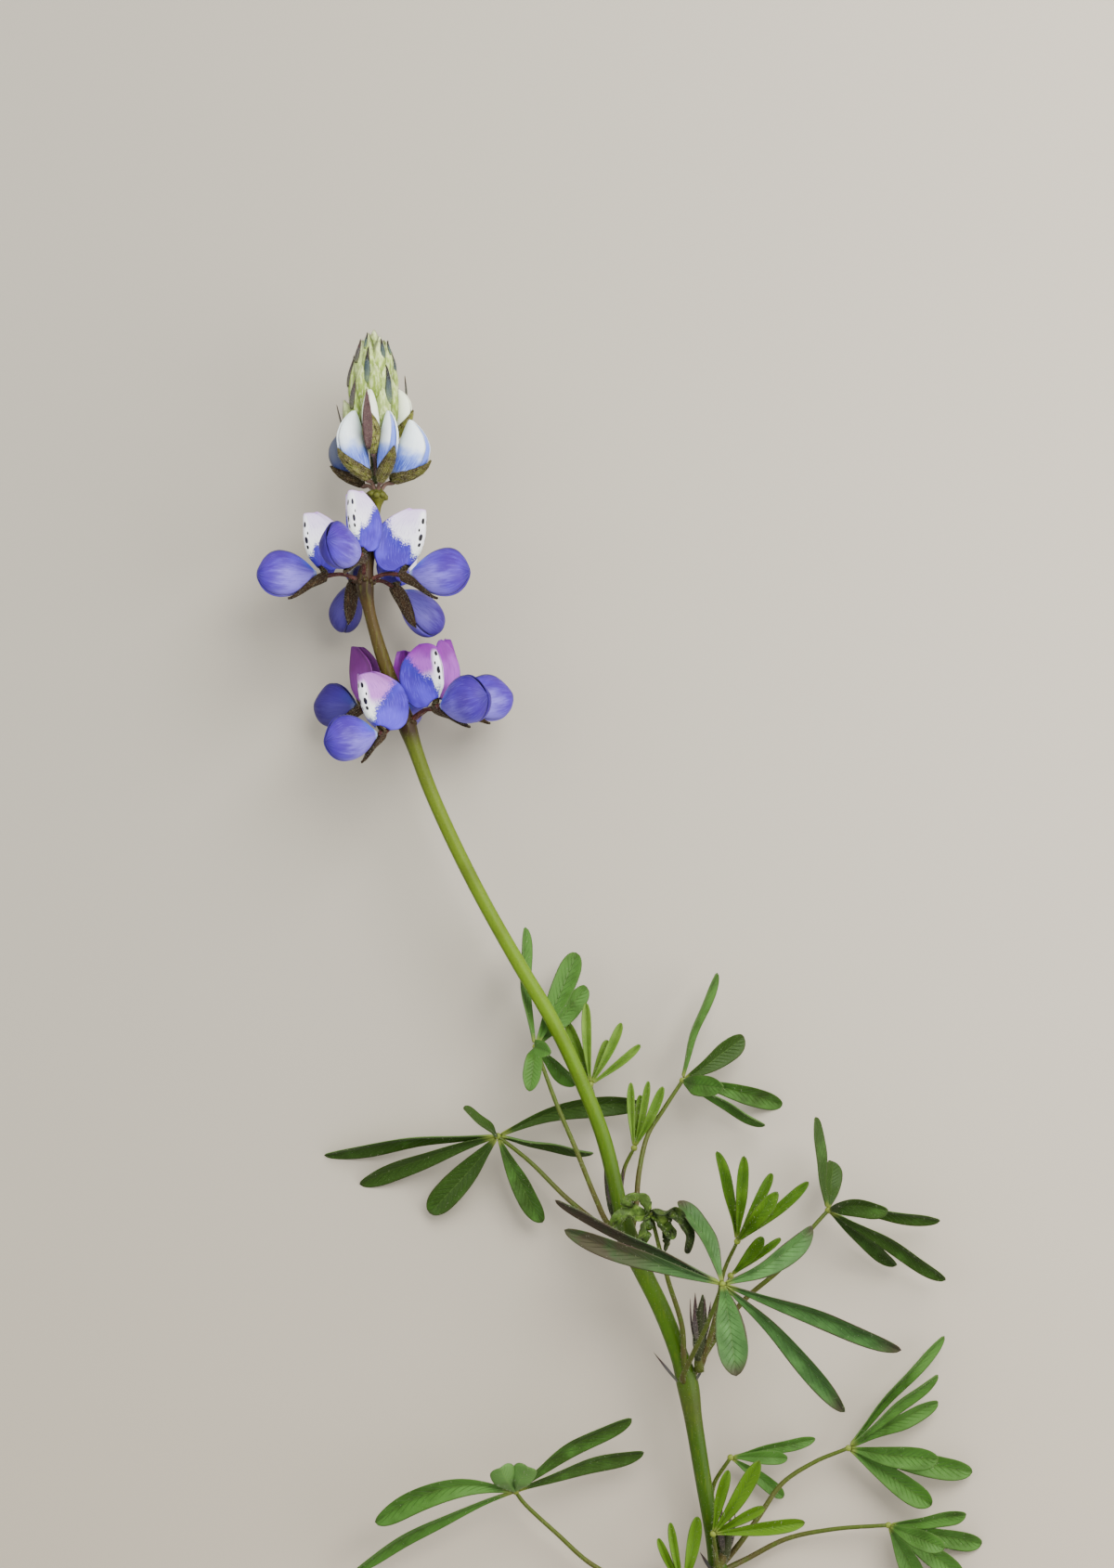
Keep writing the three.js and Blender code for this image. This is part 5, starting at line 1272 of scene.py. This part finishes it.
# Of each small bud: its turn about the axis from +X, its foot up the axis, the foot's distance out,
# length, half width and the tip's distance out. Where it has a bract, then the bract's turn to the
# side, its foot and tip as shares of the bud, and its width.
HEAD_BUDS = [
    (150, 98.4, 2.7, 10.2, 1.65, 3.1, -10, 0.43, 1.02, 1.3), (104, 98.6, 2.6, 9.8, 1.65, 2.7),
    (60, 98.6, 2.7, 9.8, 1.65, 2.8), (14, 98.8, 2.7, 10.6, 1.6, 2.9), (322, 98.6, 2.7, 10.4, 1.6, 2.9),
    (268, 98.6, 2.7, 10.2, 1.65, 2.8, 0, 0.45, 1.0, 1.0),
    (210, 98.6, 2.7, 10.2, 1.65, 2.9, 0, 0.45, 1.0, 0.9),
    (172, 102.2, 2.7, 9.7, 1.6, 3.1, -6, 0.47, 1.04, 1.3), (128, 102.4, 2.4, 9.4, 1.65, 2.5),
    (85, 102.6, 2.3, 9.4, 1.65, 2.4), (48, 102.3, 2.4, 9.2, 1.6, 2.5, 2, 0.12, 0.9, 1.5),
    (355, 102.3, 2.5, 9.8, 1.6, 2.8), (298, 102.3, 2.4, 9.6, 1.6, 2.5, 0, 0.45, 1.0, 1.0),
    (238, 102.3, 2.4, 9.6, 1.6, 2.5),
    (150, 106.0, 2.0, 8.7, 1.55, 2.3, -10, 0.55, 1.03, 1.2),
    (108, 105.8, 1.9, 8.6, 1.55, 2.0, 0, 0.14, 0.92, 1.2),
    (66, 106.2, 1.8, 8.4, 1.5, 2.0), (28, 106.0, 1.9, 8.4, 1.5, 2.4, 6, 0.74, 1.04, 0.6),
    (342, 105.8, 2.1, 7.6, 1.55, 2.6, 50, 0.1, 1.0, 1.4), (270, 106.0, 1.9, 8.4, 1.5, 2.1),
    (210, 106.0, 1.9, 8.4, 1.5, 2.1, 0, 0.5, 1.0, 1.0),
    (128, 109.2, 1.3, 6.7, 1.45, 1.5, -12, 0.6, 1.03, 0.5),
    (54, 109.0, 1.3, 6.3, 1.45, 1.7, 4, 0.36, 0.96, 1.0),
    (345, 108.8, 1.4, 6.0, 1.45, 1.8), (240, 109.0, 1.3, 6.4, 1.4, 1.5),
    (85, 110.4, 0.2, 6.1, 1.4, 0.4),
]
HEAD_BUD_TONES = (0.0, 0.14, -0.1, 0.06)
HEAD_SHADED_SIDE = (140, 180)  # turns of the buds whose bracts are darker and browner, as painted shade on the head's shaded left side
HEAD_SHADED_TONE = 0.55
HEAD_MIDDLE = np.array([-48.35, 0.0, 15.1])
HEAD_SIDE_BUD = ((-50.6, 97.0, 13.8), (-53.6, 104.6, 12.8), 1.5)
HEAD_SIDE_STALK = [(-48.2, 91, 15.2, 0.5), (-50.0, 94.2, 14.4, 0.5), (-50.8, 97.6, 13.7, 0.7)]
HEAD_LOOSE_BRACTS = [  # foot, tip, width
    ((-53.4, 98.6, 14.4), (-55.0, 103.8, 13.8), 0.7), ((-42.8, 104.4, 12.2), (-43.0, 109.0, 12.0), 0.5),
]


def head_bract(skin, start, end, radius, out, tone, foot, tip, width):
    """A bract laid along a small bud's back."""
    t = np.linspace(foot, tip, 16)[:, None]
    v = np.linspace(-1, 1, 7)[None, :]
    way = unit(end - start)
    out = unit(out - way * np.dot(out, way))
    side = np.cross(way, out)
    height = radius * spindle_reach(np.clip(t, 0, 1)) + 0.12 + 0.5 * np.clip(t - 0.9, 0, 1)
    height = height + 1.6 * np.clip(0.4 - t, 0, 1)
    share = (t - foot) / (tip - foot)
    half = width / 2 * np.sin(np.pi * (0.1 + 0.9 * share) ** 0.7) + 0.02
    sag = 0.35 * half * v * v
    grid = start + (end - start) * t[..., None] + (height - sag)[..., None] * out
    grid = grid + (half * v)[..., None] * side
    thickness = 0.13 * np.sqrt(1 - 0.8 * v * v) * np.ones_like(t)
    skin.sheet(grid, thickness, v, share, 1, tone, down=0.8)


def make_bud_head():
    skin = Skin()
    skin.tube(HEAD_AXIS, 16, 8, 0, 0.5, down=0.6)
    for number, (turn, foot, out_low, length, radius, out_high, *bract) in enumerate(HEAD_BUDS):
        out = way_out(turn)
        start = HEAD_MIDDLE + [0, foot, 0] + out * out_low
        end = HEAD_MIDDLE + [0, foot + length, 0] + out * out_high
        tone = HEAD_BUD_TONES[number % len(HEAD_BUD_TONES)]
        spindle(skin, start, end, radius, 0, tone, sides=16, rows=16, out=out)
        if bract:
            # Painted shade: bracts on the head's shaded left side are darker and browner.
            dark = HEAD_SHADED_TONE if HEAD_SHADED_SIDE[0] < turn < HEAD_SHADED_SIDE[1] else 0.0
            head_bract(skin, start, end, radius, way_out(turn + bract[0]), dark, *bract[1:])
    spindle(skin, *HEAD_SIDE_BUD, 0, -0.2, sides=16, rows=18)
    skin.tube(HEAD_SIDE_STALK, 10, 6, 0, 0.3)
    for foot, tip, width in HEAD_LOOSE_BRACTS:
        foot, tip = np.array(foot), np.array(tip)
        way, out = tip - foot, (foot - HEAD_MIDDLE) * [1, 0, 1]
        pointed_blade(skin, foot, way, out, np.linalg.norm(way), width, 0.03, 1, 0.4, down=0.8, thick=0.35)
    skin.build("bud_head", "bud_head", [FINISH["small bud"], FINISH["bract"]],
               dict(density=9, length=0.5, radius=0.018, lean=(0, 0.7, 0), spread=0.5, seed=99))


# Floor, light and camera

FLOOR_HALF = 3.0
CAMERA_PLACE = (-0.01148, 0.03963, 1.0275)
CAMERA_LENS = 134.88
CAMERA_SENSOR = 36.0
LIGHTS = [  # name, place, aim, width, watts, colour
    ("window", (0.35, 0.6, 0.85), (0.0, 0.0, 0.0), 0.8, 21.0, (1.0, 0.985, 0.96)),
    ("right wall", (0.8, -0.05, 0.5), (0.0, 0.0, 0.0), 0.7, 7.5, (1.0, 0.98, 0.95)),
    ("left fill", (-0.8, 0.3, 0.8), (0.0, 0.0, 0.0), 1.0, 7.0, (0.97, 0.985, 1.0)),
]
AIR = (0.97, 0.98, 1.0, 1.0)
AIR_STRENGTH = 0.85


def make_floor():
    mesh = bpy.data.meshes.new("floor")
    h = FLOOR_HALF
    mesh.from_pydata([(-h, -h, 0), (h, -h, 0), (h, h, 0), (-h, h, 0)], [], [(0, 1, 2, 3)])
    floor = bpy.data.objects.new("floor", mesh)
    bpy.context.scene.collection.objects.link(floor)
    f = Finish("pale_floor_painted_falloff", gloss=0.1)
    # Painted light: the floor darkens to the left and towards the bottom of the view, standing in for the
    # fall of the lamps' light.
    f.colour = f.mix(f.step(f.axis("X"), -0.13, 0.16), (158, 152, 139), (186, 178, 163))
    f.wash(f.step(f.axis("Y"), 0.06, -0.18, 0.6), (164, 150, 130))
    mesh.materials.append(f.done(0.85))


def make_lights():
    for name, place, aim, width, watts, colour in LIGHTS:
        data = bpy.data.lights.new(name, "AREA")
        data.shape = "DISK"
        data.size, data.energy, data.color = width, watts, colour
        lamp = bpy.data.objects.new(name, data)
        lamp.location = place
        lamp.rotation_euler = (Vector(aim) - Vector(place)).to_track_quat("-Z", "Y").to_euler()
        bpy.context.scene.collection.objects.link(lamp)
    world = bpy.data.worlds.new("studio")
    bpy.context.scene.world = world
    world.use_nodes = True
    air = world.node_tree.nodes["Background"]
    air.inputs["Color"].default_value = AIR
    air.inputs["Strength"].default_value = AIR_STRENGTH


def make_camera():
    data = bpy.data.cameras.new("camera")
    data.lens, data.sensor_width = CAMERA_LENS, CAMERA_SENSOR
    data.clip_start, data.clip_end = 0.05, 20
    camera = bpy.data.objects.new("camera", data)
    camera.location = CAMERA_PLACE
    bpy.context.scene.collection.objects.link(camera)
    bpy.context.scene.camera = camera


make_camera()
make_lights()
make_floor()
make_stem()
make_leaves()
make_side_shoots()
make_flowers()
make_buds()
make_bud_head()
